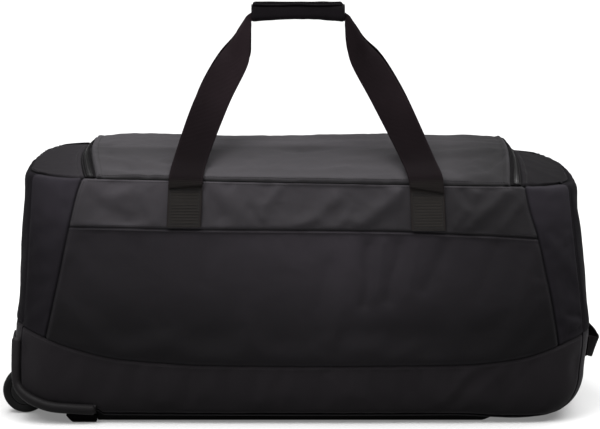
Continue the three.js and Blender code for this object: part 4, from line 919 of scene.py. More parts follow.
# ---- top -------------------------------------------------------------------------------
def arch(t):
    return 1 - np.abs(np.clip(t, -1, 1)) ** ARCH


XS_FINE = np.linspace(-330, 330, 331)
SEAM_DEPTH = -wall(along(XS_FINE, lid_seam(XS_FINE)), lid_seam(XS_FINE))[..., 1]


def seam_depth(x):
    return np.interp(x, XS_FINE, SEAM_DEPTH)


def lid_height(x, Y):
    return lid_seam(x) + read(LID_RISE, x) * arch(Y / HALF_TOP)


def top_point(x, Y, z):
    x, Y, z = np.broadcast_arrays(x, Y, z)
    return np.stack([x, Y * seam_depth(x) / HALF_TOP, z], -1)


TURN_Y = HALF_TOP - ZIP_TURN - ZIP_HALF


def zip_edge(side, Y, off, gap=0.0):
    Y = np.asarray(Y, float)
    t2 = np.where(Y < 0, (Y / HALF_TOP) ** 2, 0)
    draw = (15 if off < 0 else 17) if side < 0 else (5.2 if off < 0 else 7)
    mid = ZIP_X[side]
    straight = mid - side * (off * ZIP_HALF + gap * off + draw * t2)
    r = ZIP_TURN - off * (ZIP_HALF + gap)
    turned = mid - side * ZIP_TURN + side * np.sqrt(np.maximum(0, r * r - (np.maximum(Y, TURN_Y) - TURN_Y) ** 2))
    return np.where(Y <= TURN_Y, straight, turned)


def build_lid():
    rear = TURN_Y + ZIP_TURN - ZIP_HALF
    us = lines(550, 3.0)
    near = np.array([0, 0.7, 1.5, 2.6, 4.2, 6.4, 9.0])
    flat = np.linspace(-HALF_TOP + 9, TURN_Y + 18, 84)
    turn = rear - (rear - TURN_Y - 18) * (1 - np.sin(np.linspace(0, math.pi / 2, 22)))[1:]
    Ys = np.concatenate([-HALF_TOP + near[:-1], flat, turn])
    u, Y = np.meshgrid(us, Ys, indexing="ij")
    xl, xr = zip_edge(-1, Y, 1), zip_edge(1, Y, 1)
    x = xl + (xr - xl) * u
    d = {"low": Y + HALF_TOP, "top": rear - Y, "left": x - xl, "right": xr - x}
    near_d = np.minimum(np.minimum(d["low"], d["top"]), np.minimum(d["left"], d["right"]))
    P0 = top_point(x, Y, lid_height(x, Y))
    h = np.maximum(roll(d["low"], 0.7, 1.2, 0.1) + roll(d["top"], 1.5) + roll(d["left"], 1.5) + roll(d["right"], 1.5), -2.6)
    # The ends carry a turned hem next to the zip.
    for k in ("left", "right"):
        h += 0.9 * np.exp(-(((d[k] - 5.0) / 3.2) ** 2)) - 0.8 * np.exp(-(((d[k] - 10.5) / 1.6) ** 2))
    h += pucker(x, d["low"], 31, 0.7) + pucker(Y, d["left"], 33, 0.7) + pucker(Y, d["right"], 35, 0.7) + pucker(x, d["top"], 37, 0.6)
    h += (fold("lid", x, Y) + drift(x, Y, 17, 1.5, (85, 60)) + 1.5 * crumple(x, Y, 17, 56)) * smooth(near_d / 16)
    panels["lid"] = dict(us=us, vs=Ys, p=x, z=Y, P0=P0, N0=normals(P0), h=h, d=d, sy=-1, name="lid_cover", nodes=["lid"], mat=M_LID, slot="lid_cloth", near=near_d,
                         p_low=lambda YY: zip_edge(-1, YY, 1), p_high=lambda YY: zip_edge(1, YY, 1))


def build_hump(side):
    rise, power = HUMP[side]
    corner_p = border(side)(float(seam_top(side * 400.0)))
    front_x, rear_x = float(zip_edge(side, -HALF_TOP, -1)), float(zip_edge(side, HALF_TOP, -1))
    pf, pr = float(along(front_x, lid_seam(front_x))), float(along(rear_x, lid_seam(rear_x)))
    us = lines(82, 3.0)
    ts = 2 * lines(310, 3.6) - 1
    u, t = np.meshgrid(us, ts, indexing="ij")
    k = (t + 1) / 2
    on_seam = lambda q: wall(q, seam_top(q))
    front = on_seam(pf + (corner_p - pf) * u)
    rear = flip_y(on_seam(pr + (corner_p - pr) * u))
    top = float(seam_top(side * 400.0))
    end = end_wall(side, t * float(end_reach(top)), np.full(t.shape, top))
    zx = zip_edge(side, t * HALF_TOP, -1)
    zip_line = top_point(zx, t * HALF_TOP, np.zeros(t.shape))
    c00, c10 = on_seam(np.array(pf)), on_seam(np.array(corner_p))
    c01, c11 = flip_y(on_seam(np.array(pr))), flip_y(on_seam(np.array(corner_p)))
    U, K = u[..., None], k[..., None]
    M = (1 - K) * front + K * rear + (1 - U) * zip_line + U * end - ((1 - U) * (1 - K) * c00 + U * (1 - K) * c10 + (1 - U) * K * c01 + U * K * c11)
    z = seam_top(M[..., 0]) + rise * (1 - u ** power) * arch(t)
    P0 = np.stack([M[..., 0], M[..., 1], z], -1)
    wide = np.abs(front_x - side * 368) * np.ones_like(u)
    d = {"left": u * wide, "right": (1 - u) * wide, "low": k * 310, "top": (1 - k) * 310}
    near = np.minimum(np.minimum(d["low"], d["top"]), np.minimum(d["left"], d["right"]))
    h = np.maximum(roll(d["left"], 1.3) + roll(d["right"], 2.0) + roll(d["low"], 2.0) + roll(d["top"], 2.0), -2.4)
    h += 0.8 * np.exp(-(((d["left"] - 4.5) / 3.0) ** 2)) - 0.7 * np.exp(-(((d["left"] - 9.5) / 1.5) ** 2))
    seed = 41 + side
    h += pucker(t * 155, d["right"], seed, 0.6) + pucker(u * 82, d["low"], seed + 2, 0.6) + pucker(t * 155, d["left"], seed + 4, 0.5)
    h += (drift(u * 82, t * 155, seed, 0.7, (40, 50)) + 0.5 * crumple(u * 82, t * 155, seed, 44)) * smooth(near / 18)
    if side > 0:  # a crease from the zip down towards the corner
        c = np.abs((u - 0.12) * 82 + (t + 0.86) * 60) / 10
        h += 1.8 * np.exp(-(c ** 2)) * smooth((0.2 - t) * 2) * smooth(near / 8)
    word = "left" if side < 0 else "right"
    panels[f"hump_{word}"] = dict(us=us, vs=ts, p=u * 82, z=t * 155, P0=P0, N0=normals(P0), h=h, d=d, sy=-1, name=f"shoulder_{word}", nodes=[f"top_end_{word}"],
                                  mat=M_SHOULDER_SHADED, slot="body_cloth", near=near)


build_lid()
build_hump(-1)
build_hump(1)

def pick(path, step):
    s = arc_lengths(path)
    n = max(3, int(round(s[-1] / step)))
    return np.unique([int(np.argmin(np.abs(s - k))) for k in np.linspace(0, s[-1], n + 1)])


def relax(g, rounds):
    """Evens a grid of heights."""
    for _ in range(rounds):
        p = np.pad(g, 1, mode="edge")
        g = (p[:-2, 1:-1] + 2 * p[1:-1, 1:-1] + p[2:, 1:-1]) / 4
        p = np.pad(g, 1, mode="edge")
        g = (p[1:-1, :-2] + 2 * p[1:-1, 1:-1] + p[1:-1, 2:]) / 4
    return g


def settle(keys, frames=24, step=8.5, cap=3.2):
    """Each panel hangs as cloth, held at its seams and sewn straps; the outward part of what it does is kept."""
    scene = bpy.context.scene
    jobs = []
    for key in keys:
        g = panels[key]
        P = g["P0"] + g["N0"] * g["h"][..., None]
        i, j = pick(P[:, P.shape[1] // 2], step), pick(P[P.shape[0] // 2], step)
        S = P[i][:, j]
        me = bpy.data.meshes.new("settle_" + key)
        me.from_pydata([tuple(c) for c in to_m(S.reshape(-1, 3))], [], [tuple(int(c) for c in f) for f in grid_quads(len(i), len(j))])
        o = bpy.data.objects.new("settle_" + key, me)
        scene.collection.objects.link(o)
        held = g["near"][i][:, j] < 1.0
        if key in ("yoke", "pocket", "back"):
            held |= (bare(g["p"][i][:, j]) < 0.5) & (g["z"][i][:, j] > 258)
        pin = o.vertex_groups.new(name="pin")
        pin.add([int(k) for k in np.where(held.ravel())[0]], 1.0, "REPLACE")
        cloth = o.modifiers.new("cloth", "CLOTH")
        c = cloth.settings
        c.quality, c.mass, c.air_damping = 6, 0.15, 2.0
        c.tension_stiffness = c.compression_stiffness = 15.0
        c.shear_stiffness, c.bending_stiffness = 6.0, 0.5
        c.tension_damping = c.compression_damping = c.shear_damping = 8.0
        c.bending_damping = 0.6
        c.vertex_group_mass = "pin"
        c.shrink_min = -0.012
        c.effector_weights.gravity = 0.5
        cloth.collision_settings.use_collision = False
        cloth.collision_settings.use_self_collision = False
        cloth.point_cache.frame_start, cloth.point_cache.frame_end = 1, frames
        jobs.append((key, g, o, i, j, S))
    for k in range(1, frames + 1):
        scene.frame_set(k)
    deps = bpy.context.evaluated_depsgraph_get()
    for key, g, o, i, j, S in jobs:
        ev = o.evaluated_get(deps)
        co = np.empty(len(ev.data.vertices) * 3, np.float32)
        ev.data.vertices.foreach_get("co", co)
        moved = (co.reshape(S.shape) * 1000 + np.array([CENTRE_X, 0, 0]) - S)
        out = (moved * g["N0"][i][:, j]).sum(-1)
        if not key.startswith(("yoke", "pocket", "back", "tray")):
            # The filled ends and the top keep their general form and take the creases only.
            out = (out - relax(out, 6)) * (0.35 if key.startswith(("end", "hump")) else 1.0)
        out = np.clip(out, -cap, cap)
        u, v = np.meshgrid(g["us"], g["vs"], indexing="ij")
        fine = relax(bilinear(g["us"][i], g["vs"][j], out[..., None], u, v)[..., 0], 3)
        g["h"] = g["h"] + fine * smooth(g["near"] / 6)
        print("settled", o.name, "from", round(float(out.min()), 2), "to", round(float(out.max()), 2), "mm")
    for key, g, o, *_ in jobs:
        me = o.data
        bpy.data.objects.remove(o)
        bpy.data.meshes.remove(me)
    scene.frame_set(1)


settle(list(panels))

for key in list(panels):
    finish_panel(key)


# ---- base underside --------------------------------------------------------------------
def hollow(v):
    y = np.abs(v[..., 1])
    share = smooth((y - WELL_IN0) / (WELL_IN1 - WELL_IN0)) * smooth((WELL_OUT0 - y) / (WELL_OUT0 - WELL_OUT1))
    past = np.maximum(0, v[..., 0] * WELL_N[0] + v[..., 2] * WELL_N[1] - WELL_REACH) * share * (v[..., 0] < 0)
    return v - past[..., None] * np.array([WELL_N[0], 0, WELL_N[1]])


def weld(*grids):
    """Joins grids of points into one surface, with points that meet merged."""
    verts, quads, uvs, start = [], [], [], 0
    for P, uv in grids:
        nu, nv = P.shape[:2]
        verts.append(P.reshape(-1, 3))
        uvs.append(uv.reshape(-1, 2))
        q = grid_quads(nu, nv)
        v = P.reshape(-1, 3)
        n = np.cross(v[q[:, 2]] - v[q[:, 0]], v[q[:, 3]] - v[q[:, 1]])
        if (n * outward(v[q].mean(1))).sum() < 0:
            q = q[:, ::-1]
        quads.append(q + start)
        start += nu * nv
    v, q, uv = np.concatenate(verts), np.concatenate(quads), np.concatenate(uvs)
    key = np.round(v * 50).astype(np.int64)
    _, first, inverse = np.unique(key, axis=0, return_index=True, return_inverse=True)
    inverse = inverse.reshape(-1)
    q = inverse[q]
    ok = np.array([len(set(r)) for r in q])
    tris = []
    for r in q[ok == 3]:
        out = []
        for c in r:
            if c not in out:
                out.append(c)
        tris.append(out)
    return v[first], q[ok == 4], np.array(tris, int).reshape(-1, 3), uv[first]


def vertex_normals(v, quads, tris):
    n = np.zeros_like(v)
    for f in (quads, tris):
        if len(f):
            c = np.cross(v[f[:, 2]] - v[f[:, 0]], v[f[:, -1]] - v[f[:, 1]]) if f.shape[1] == 4 else np.cross(v[f[:, 1]] - v[f[:, 0]], v[f[:, 2]] - v[f[:, 0]])
            for k in range(f.shape[1]):
                np.add.at(n, f[:, k], c)
    return n / np.maximum(np.linalg.norm(n, axis=1, keepdims=True), 1e-9)


def thicken(name, v, quads, tris, uv, off_out, off_in, direction, angle=50.0, edge=None):
    """A closed wall between two offsets of a surface."""
    n = len(v)
    verts = np.concatenate([v + direction * np.asarray(off_out).reshape(-1, 1), v + direction * np.asarray(off_in).reshape(-1, 1)])
    e = np.concatenate([np.stack([quads[:, k], quads[:, (k + 1) % 4]], -1) for k in range(4)] + [np.stack([tris[:, k], tris[:, (k + 1) % 3]], -1) for k in range(3)])
    code, back = e[:, 0] * n + e[:, 1], e[:, 1] * n + e[:, 0]
    free = e[~np.isin(code, back)]
    rim = np.stack([free[:, 1], free[:, 0], free[:, 0] + n, free[:, 1] + n], -1)
    all_q = np.concatenate([quads, quads[:, ::-1] + n, rim])
    all_t = np.concatenate([tris, tris[:, ::-1] + n]) if len(tris) else tris
    if volume(verts, all_q, all_t) < 0:
        all_q, all_t = all_q[:, ::-1], all_t[:, ::-1]
    ed = None if edge is None else np.concatenate([edge, edge])
    return make(name, verts, all_q, np.concatenate([uv, uv]), all_t, ed, angle)


def end_low(side, s_lines, z_lines):
    s, z = np.meshgrid(s_lines, z_lines, indexing="ij")
    d = s * end_reach(z)
    return hollow(end_wall(side, d, z)), np.stack([d, z], -1)


def under_point(k, s):
    """Underside: k runs along the bag from the left border to the right one, s across it."""
    p0, p1 = float(border(-1)(EDGE_Z)), float(border(1)(EDGE_Z))
    p = p0 + (p1 - p0) * k
    a = np.abs(s)
    flat = 0.93
    z = FLOOR + EDGE_LEVEL * np.clip((a - flat) / (1 - flat), 0, 1) ** 2 + 0.001
    edge = wall(p, z)
    inner = wall(p, np.full(np.shape(p), FLOOR + 0.001))
    share = np.minimum(a / flat, 1.0)
    x = np.where(a <= flat, inner[..., 0], edge[..., 0])
    y = np.where(a <= flat, inner[..., 1] * share, edge[..., 1])
    # The end lines bulge with the end walls.
    for side, kk in ((-1, k), (1, 1 - k)):
        c = end_wall(side, s * end_reach(z), z)
        base = wall(np.full(np.shape(p), p0 if side < 0 else p1), z)
        w = np.clip(1 - kk / 0.06, 0, 1) ** 1.6
        x = x + w * (c[..., 0] - base[..., 0])
        y = np.where(kk <= 0, -np.abs(c[..., 1]), y)
    return np.stack([x, np.sign(s) * np.abs(y), z], -1)


def base_rows():
    cross = np.unique(np.concatenate([np.linspace(-1, 1, 25), np.linspace(0.40, 1, 44), -np.linspace(0.40, 1, 44)]))
    ks = np.unique(np.concatenate([np.linspace(0, 0.012, 5), np.linspace(0.012, 0.2, 40), np.linspace(0.2, 0.9, 24), np.linspace(0.9, 1, 22)]))
    return cross, ks


CROSS, KS = base_rows()
rise = EDGE_LEVEL * np.clip((np.abs(CROSS) - 0.93) / 0.07, 0, 1) ** 2


def end_foot(side):
    """From the flat of the underside up to the edge seam's level, at an end."""
    t = np.linspace(0, 1, 5)
    s, tt = np.meshgrid(CROSS, t, indexing="ij")
    z = FLOOR + 0.001 + rise[:, None] + (EDGE_LEVEL - rise[:, None]) * tt
    d = s * end_reach(z)
    return hollow(end_wall(side, d, z)), np.stack([d, z], -1)


kk, ss = np.meshgrid(KS, CROSS, indexing="ij")
under = under_point(kk, ss)
under[0] = end_foot(-1)[0][:, 0]
under[-1] = end_foot(1)[0][:, 0]
under = hollow(under)
LOW_Z = {-1: np.unique(np.concatenate([np.linspace(EDGE_Z, 128.5, 42)])), 1: np.unique(np.concatenate([np.linspace(EDGE_Z, 117, 34)]))}
v, q, t, uv = weld(end_low(-1, CROSS, LOW_Z[-1]), end_foot(-1), (under, under[..., :2]), end_foot(1), end_low(1, CROSS, LOW_Z[1]))
n_base = vertex_normals(v, q, t)
near_seam = np.minimum(np.where(v[:, 0] < 0, 128.5 - v[:, 2], 117 - v[:, 2]), 60)
crease = roll(near_seam, 0.9)
wob = value_noise(v[:, 1] / 60 + 3, v[:, 2] / 50 + v[:, 0] / 90, 11) * smooth((v[:, 2] - 30) / 40) * smooth(near_seam / 20) * smooth((v[:, 0] + 260) / 40)
v = low_sag(v + n_base * (crease + 1.2 * wob)[:, None])
base = thicken("base_shell", v, q, t, uv, np.zeros(len(v)), np.full(len(v), -CLOTH), n_base)
finish_piece(base, "bag", ["base_bottom"], M_BASE)

# ---- zip -------------------------------------------------------------------------------
def zip_height(side, x, Y, d):
    low = lid_seam(x) + HUMP[side][0] * arch(Y / HALF_TOP)
    return low + (lid_height(x, Y) - low) * (d + 1) / 2 + 0.3


def zip_route(d):
    """Points along the zip at share d across it (-1 outside, 1 at the lid), from the front left round the back to the front right."""
    out = []
    for side in (-1, 1):
        Y = np.linspace(-HALF_TOP + 0.6, TURN_Y, 90)
        outer, inner = zip_edge(side, Y, -1), zip_edge(side, Y, 1)
        x = outer + (inner - outer) * (d + 1) / 2
        leg = top_point(x, Y, zip_height(side, x, Y, d))
        a = np.linspace(0, math.pi / 2, 40)[1:]
        r = ZIP_TURN - d * ZIP_HALF
        x = ZIP_X[side] - side * ZIP_TURN + side * r * np.cos(a)
        Y = TURN_Y + r * np.sin(a)
        turn = top_point(x, Y, zip_height(side, x, Y, d))
        out.append(np.concatenate([leg, turn]))
    x = np.linspace(ZIP_X[-1] + ZIP_TURN, ZIP_X[1] - ZIP_TURN, 120)[1:-1]
    Y = np.full_like(x, TURN_Y + ZIP_TURN - d * ZIP_HALF)
    blend = smooth((x + 40) / 80)
    z = (1 - blend) * zip_height(-1, x, Y, d) + blend * zip_height(1, x, Y, d)
    rear = top_point(x, Y, z)
    return np.concatenate([out[0], rear, out[1][::-1]])


def build_zip():
    shares = np.array([-1.0, -0.8, -0.55, -0.36, -0.2, 0.0, 0.2, 0.36, 0.55, 0.8, 1.0])
    sag = np.array([0.6, 0.1, -0.2, -0.4, -0.5, -0.5, -0.5, -0.4, -0.2, 0.1, 0.6])
    lines_ = [zip_route(d) for d in shares]
    mid = lines_[5]
    s_mid = arc_lengths(mid)
    P = np.stack(lines_, 1)
    N = normals(P)
    P = P + N * sag[None, :, None]
    uv = np.stack(np.broadcast_arrays(shares[None, :] * ZIP_HALF, s_mid[:, None]), -1)
    o = sheet_mesh("zip_tape", P, N, 1.0, uv)
    finish_piece(o, "bag", ["zip_left", "zip_right", "zip_rear"], M_TAPE)
    # Chain: two rows of teeth that interlock along the middle.
    pitch = 2.3
    nrm = N[:, 5]
    cross = P[:, 8] - P[:, 2]
    cross /= np.linalg.norm(cross, axis=1, keepdims=True)
    at = np.arange(2.0, s_mid[-1] - 2.0, pitch / 2)
    get = lambda g: np.stack([np.interp(at, s_mid, g[:, k]) for k in range(3)], -1)
    c, n, w = get(P[:, 5]), get(nrm), get(cross)
    n /= np.linalg.norm(n, axis=1, keepdims=True)
    w -= n * (w * n).sum(1, keepdims=True)
    w /= np.linalg.norm(w, axis=1, keepdims=True)
    t = np.cross(n, w)
    side = np.where(np.arange(len(at)) % 2 == 0, 1.0, -1.0)[:, None]
    # Section of a tooth seen from above: a leg on its own side with a rounded head past the middle.
    outline = np.array([[3.5, -0.45], [0.5, -0.45], [-0.6, -0.66], [-1.15, -0.32], [-1.15, 0.32], [-0.6, 0.66], [0.5, 0.45], [3.5, 0.45]])
    rings = []
    for lift, grow in ((0.05, 1.0), (1.6, 1.0), (2.1, 0.72)):
        rings.append(np.stack([c + side * w * (a * (1 if grow == 1 else 0.9) + (0.15 if grow < 1 else 0)) + t * (b * grow) + n * lift for a, b in outline], 1))
    R = np.stack(rings, 1)
    m, per = len(R), 24
    q0 = grid_quads(3, 8, wrap_v=True)
    top = 16
    caps = np.array([[top, top + 1, top + 6, top + 7], [top + 1, top + 2, top + 5, top + 6], [top + 2, top + 3, top + 4, top + 5],
                     [7, 6, 1, 0], [6, 5, 2, 1], [5, 4, 3, 2]])
    quads = []
    for sgn in (0, 1):
        one = np.concatenate([q0, caps])
        v0 = R[sgn].reshape(-1, 3)
        v0 = v0 - v0.mean(0)
        if volume(v0, one) < 0:
            one = one[:, ::-1]
        # caps and sides must agree
        if abs(volume(v0, one)) < abs(volume(v0, np.concatenate([one[: len(q0)], one[len(q0):, ::-1]]))):
            one = np.concatenate([one[: len(q0)], one[len(q0):, ::-1]])
            if volume(v0, one) < 0:
                one = one[:, ::-1]
        quads.append(one)
    Q = np.concatenate([quads[k % 2] + k * per for k in range(m)])
    verts = R.reshape(-1, 3)
    teeth = make("zip_chain", verts, Q, verts[:, :2], angle=35)
    finish_piece(teeth, "bag", [], M_TEETH)
    stitch_line(P[:, 1] + N[:, 1] * 0.2, N[:, 1], 2.8, 2.1, 0.28)
    # A woven cord runs along the tape on either side of the chain.
    for word, k in (("outer", 2), ("inner", 8)):
        line, up = even(P[:, k] + N[:, k] * 0.35, 2.0, N[:, k])
        S_ = tube_sections(line, 0.75, 8, 1.0, up)
        uvc = np.stack(np.broadcast_arrays(np.linspace(0, 4.7, 8)[None], arc_lengths(line)[:, None]), -1)
        cord = loft(f"zip_edge_{word}", S_, uvc, True, True, angle=70)
        finish_piece(cord, "bag", [], M_TAPE)
    return P, N, s_mid


zip_P, zip_N, zip_s = build_zip()


def rounded_box(cx, cy, cz, hx, hy, hz, r, n=3):
    """Verts and quads of a box with rounded edges, centred at a point."""
    ax = []
    for h in (hx, hy, hz):
        rr = min(r, h * 0.98)
        a = np.sin(np.linspace(0, math.pi / 2, n + 1))
        ax.append(np.unique(np.round(np.concatenate([-h + rr - rr * a[::-1], [-h + rr], [h - rr], h - rr + rr * a]), 6)))
    verts, quads = [], []
    start = 0
    for axis in range(3):
        b, c = [k for k in range(3) if k != axis]
        for sgn in (-1, 1):
            B, C = np.meshgrid(ax[b], ax[c], indexing="ij")
            g = np.zeros(B.shape + (3,))
            g[..., b], g[..., c], g[..., axis] = B, C, sgn * (hx, hy, hz)[axis]
            core = np.stack([np.clip(g[..., k], -((hx, hy, hz)[k] - min(r, (hx, hy, hz)[k] * 0.98)), (hx, hy, hz)[k] - min(r, (hx, hy, hz)[k] * 0.98)) for k in range(3)], -1)
            d = g - core
            rr = np.array([min(r, h * 0.98) for h in (hx, hy, hz)])
            L = np.linalg.norm(d / rr, axis=-1, keepdims=True)
            g = core + d / np.maximum(L, 1e-9)
            q = grid_quads(*B.shape, start=start)
            v = g.reshape(-1, 3)
            nn = np.cross(v[q[0] - start][2] - v[q[0] - start][0], v[q[0] - start][3] - v[q[0] - start][1])
            mid = len(q) // 2
            qq = q[mid] - start
            nn = np.cross(v[qq[2]] - v[qq[0]], v[qq[3]] - v[qq[1]])
            if nn[axis] * sgn < 0:
                q = q[:, ::-1]
            verts.append(v)
            quads.append(q)
            start += len(v)
    v, q = np.concatenate(verts), np.concatenate(quads)
    key = np.round(v * 1000).astype(np.int64)
    _, first, inv = np.unique(key, axis=0, return_index=True, return_inverse=True)
    q = inv.reshape(-1)[q]
    return v[first] + np.array([cx, cy, cz]), q


def merge_parts(parts):
    verts, quads, start = [], [], 0
    for v, q in parts:
        verts.append(v)
        quads.append(np.asarray(q) + start)
        start += len(v)
    return np.concatenate(verts), np.concatenate(quads)


def turn_to(v, origin, up, ahead):
    up = up / np.linalg.norm(up)
    ahead = ahead - up * (ahead @ up)
    ahead /= np.linalg.norm(ahead)
    side = np.cross(up, ahead)
    return origin + v[:, :1] * ahead + v[:, 1:2] * side + v[:, 2:] * up


for word, sx in (("left", -1), ("right", 1)):
    x = sx * 9.0
    i = int(np.argmin(np.abs(zip_P[:, 5, 0] - x) + 1000 * (zip_P[:, 5, 1] < 100)))
    origin, up = zip_P[i, 5], zip_N[i, 5]
    parts = []
    for v, q in (rounded_box(0, 0, 2.6, 6.0, 3.7, 1.3, 1.2), rounded_box(0, 0, 4.6, 4.0, 1.3, 1.0, 0.8), rounded_box(2.6 * sx, 0, 1.6, 2.6, 4.6, 1.2, 1.0)):
        parts.append((turn_to(v, origin, up, np.array([1.0, 0, 0])), q))
    tab, tq = rounded_box(0, 0, -9.5, 3.5, 0.9, 11.5, 0.85)
    eye, eq = rounded_box(0, 0, -18.5, 2.0, 1.1, 1.4, 0.7)
    c, s = math.cos(0.98), math.sin(0.98)
    hang = origin + up * 4.4 + np.array([0, 1.8, 0])
    for v, q in ((tab, tq), (eye, eq)):
        v = np.stack([v[:, 0], v[:, 1] * c - v[:, 2] * s, v[:, 1] * s + v[:, 2] * c], -1)
        parts.append((v + hang, q))
    v, q = merge_parts(parts)
    o = make(f"slider_{word}", v, q, v[:, [0, 2]], angle=40)
    finish_piece(o, "bag", [f"zip_slider_{word}"], M_SLIDER)

# ---- carry handles ---------------------------------------------------------------------
def catmull(points, t):
    """Centripetal curve through the points, at shares t."""
    p = np.asarray(points, float)
    n = len(p)
    x = np.clip(np.asarray(t, float), 0, 1) * (n - 1)
    i = np.minimum(x.astype(int), n - 2)
    w = (x - i)[:, None]
    ext = np.concatenate([[2 * p[0] - p[1]], p, [2 * p[-1] - p[-2]]])
    p0, p1, p2, p3 = ext[i], ext[i + 1], ext[i + 2], ext[i + 3]
    dist = lambda a, b: np.maximum(((a - b) ** 2).sum(1) ** 0.25, 1e-4)[:, None]
    d0, d1, d2 = dist(p0, p1), dist(p1, p2), dist(p2, p3)
    t1 = ((p1 - p0) / d0 - (p2 - p0) / (d0 + d1) + (p2 - p1) / d1) * d1
    t2 = ((p2 - p1) / d1 - (p3 - p1) / (d1 + d2) + (p3 - p2) / d2) * d1
    c2, c3 = -3 * p1 + 3 * p2 - 2 * t1 - t2, 2 * p1 - 2 * p2 + t1 + t2
    return p1 + t1 * w + c2 * w * w + c3 * w ** 3


def handle_rails(sy):
    def on_wall(x, z):
        v = wall(along(np.array(float(x)), np.array(float(z))), np.array(float(z)))
        return np.array([x, v[1] - STRAP_OFF - STRAP_THICK / 2, z])
    rails = []
    for k in (0, 3, 6):
        left = [on_wall(r[k], r[k + 2]) if r[k + 1] is None else np.array([r[k], r[k + 1], r[k + 2]], float) for r in HANDLE]
        right = []
        for r in HANDLE:
            x = 2 * r[9] - r[k]
            if r[k + 1] is None:
                right.append(on_wall(x, r[k + 2] + (-4.5 if r[k + 2] < 270 else -5)))
            else:
                right.append(np.array([x, r[k + 1], r[k + 2]], float))
        pts = np.array(left + right[::-1])
        rails.append(pts if sy < 0 else flip_y(pts))
    return rails


def band(name, rails, ts, thick, width, soft=0.16, bulge=None):
    """Flat webbing through three rails with rounded edges."""
    ri, rm, ro = (catmull(r, ts) for r in rails)
    ws = np.array([0, 0.012, 0.035, 0.08, 0.16, 0.25, 0.34, 0.42, 0.47, 0.5, 0.53, 0.58, 0.66, 0.75, 0.84, 0.92, 0.965, 0.988, 1.0])
    # The bend along the fold line is eased over a share of the width.
    def across(w):
        k = np.clip((w - (0.5 - soft)) / (2 * soft), 0, 1)
        g = np.where(w < 0.5 - soft, 0.0, np.where(w > 0.5 + soft, 1.0, k * k * (3 - 2 * k)))
        a = ri + (rm - ri) * (2 * w)
        b = rm + (ro - rm) * (2 * w - 1)
        return a * (1 - g) + b * g
    C = np.stack([across(w) for w in ws], 1)
    if bulge is not None:
        C = C + bulge(ts, ws)
    s = arc_lengths(rm)
    N = np.cross(np.gradient(C, axis=1), np.gradient(C, axis=0))
    N /= np.maximum(np.linalg.norm(N, axis=-1, keepdims=True), 1e-9)
    h = thick / 2 * np.sqrt(np.clip(1 - (np.clip((np.abs(ws - 0.5) - 0.465) / 0.035, 0, 1)) ** 2, 0.02, 1))
    selvedge = 0.16 * np.exp(-(((np.abs(ws - 0.5) - 0.455) / 0.018) ** 2))
    top = C + N * (h + selvedge)[None, :, None]
    low = C - N * (h + selvedge)[None, :, None]
    ring = np.concatenate([top, low[:, ::-1]], 1)
    u = np.concatenate([ws, ws[::-1]]) * width
    uv = np.stack(np.broadcast_arrays(u[None], s[:, None]), -1)
    e = np.concatenate([np.exp(-(((np.abs(ws - 0.5) - 0.48) / 0.03) ** 2))] * 2)
    edge = np.broadcast_to(0.55 * e, ring.shape[:2]).copy()
    o = loft(name, ring, uv, True, True, edge, angle=60)
    return o, C, N, s


SEWN_ROWS = 3.9  # between the rows of stitches on a handle's sewn end


def strap_form(sy):
    """A lip that folds over the bar tack where a handle leaves the wall, and grooves along the stitch rows below it."""
    def form(ts, ws):
        n = 2 * len(HANDLE) - 1
        k, w = np.meshgrid(np.minimum(ts, 1 - ts) * n, ws, indexing="ij")
        right = (ts > 0.5)[:, None]
        at = np.where(right, 2.36 - 0.42 * w, 2.42 - 0.46 * w)
        high = np.where(right, 3.2 + 0.9 * w, 4.2 - 1.6 * w)
        lip = high * smooth((k - at) / 0.11) * (1 - smooth((k - at - 0.12) / 1.15))
        mm = k * 25.0
        groove = 0.34 * (0.5 + 0.5 * np.cos(2 * math.pi * mm / SEWN_ROWS)) ** 2 * smooth((1.93 - k) / 0.06) * smooth((k - 0.12) / 0.06)
        groove = groove * smooth((0.5 - np.abs(w - 0.5) - 0.05) / 0.05)
        move = lip * 0.9 - groove
        return np.stack([np.zeros_like(k), sy * move, -0.42 * lip], -1)
    return form


RT = {}
for word, sy in (("front", -1), ("rear", 1)):
    n_h = 2 * len(HANDLE) - 1
    rails = handle_rails(sy)
    near_end = np.concatenate([np.linspace(0, 1.95, 150), np.linspace(1.95, 2.75, 70)]) / n_h
    ts = np.unique(np.round(np.concatenate([np.linspace(0, 1, 420), near_end, 1 - near_end]), 7))
    o, C, N, s = band(f"strap_{word}", rails, ts, STRAP_THICK, 46.0, bulge=strap_form(sy))
    finish_piece(o, "bag", [f"handle_strap_{word}"], M_WEB)
    k_ = np.minimum(ts, 1 - ts) * n_h
    # the sewn colour marks the sewn ends; past the bar tack it runs on at 0.6 as a painted highlight on the lip
    on = np.maximum(smooth((2.12 - k_) / 0.12), 0.6 * smooth((3.1 - k_) / 0.6))
    on = np.repeat(on, (len(o.data.vertices) - 2) // len(ts))
    paint(o, "sewn", np.concatenate([on, [1, 1]]))
    RT[word] = (C, N, s, ts)

# ---- grip wrap -------------------------------------------------------------------------
def superring(half_y, half_z, n, power=3.2):
    a = np.linspace(0, 2 * math.pi, n, endpoint=False)
    c, s = np.cos(a), np.sin(a)
    return np.stack([np.sign(c) * np.abs(c) ** (2 / power) * half_y, np.sign(s) * np.abs(s) ** (2 / power) * half_z], -1)


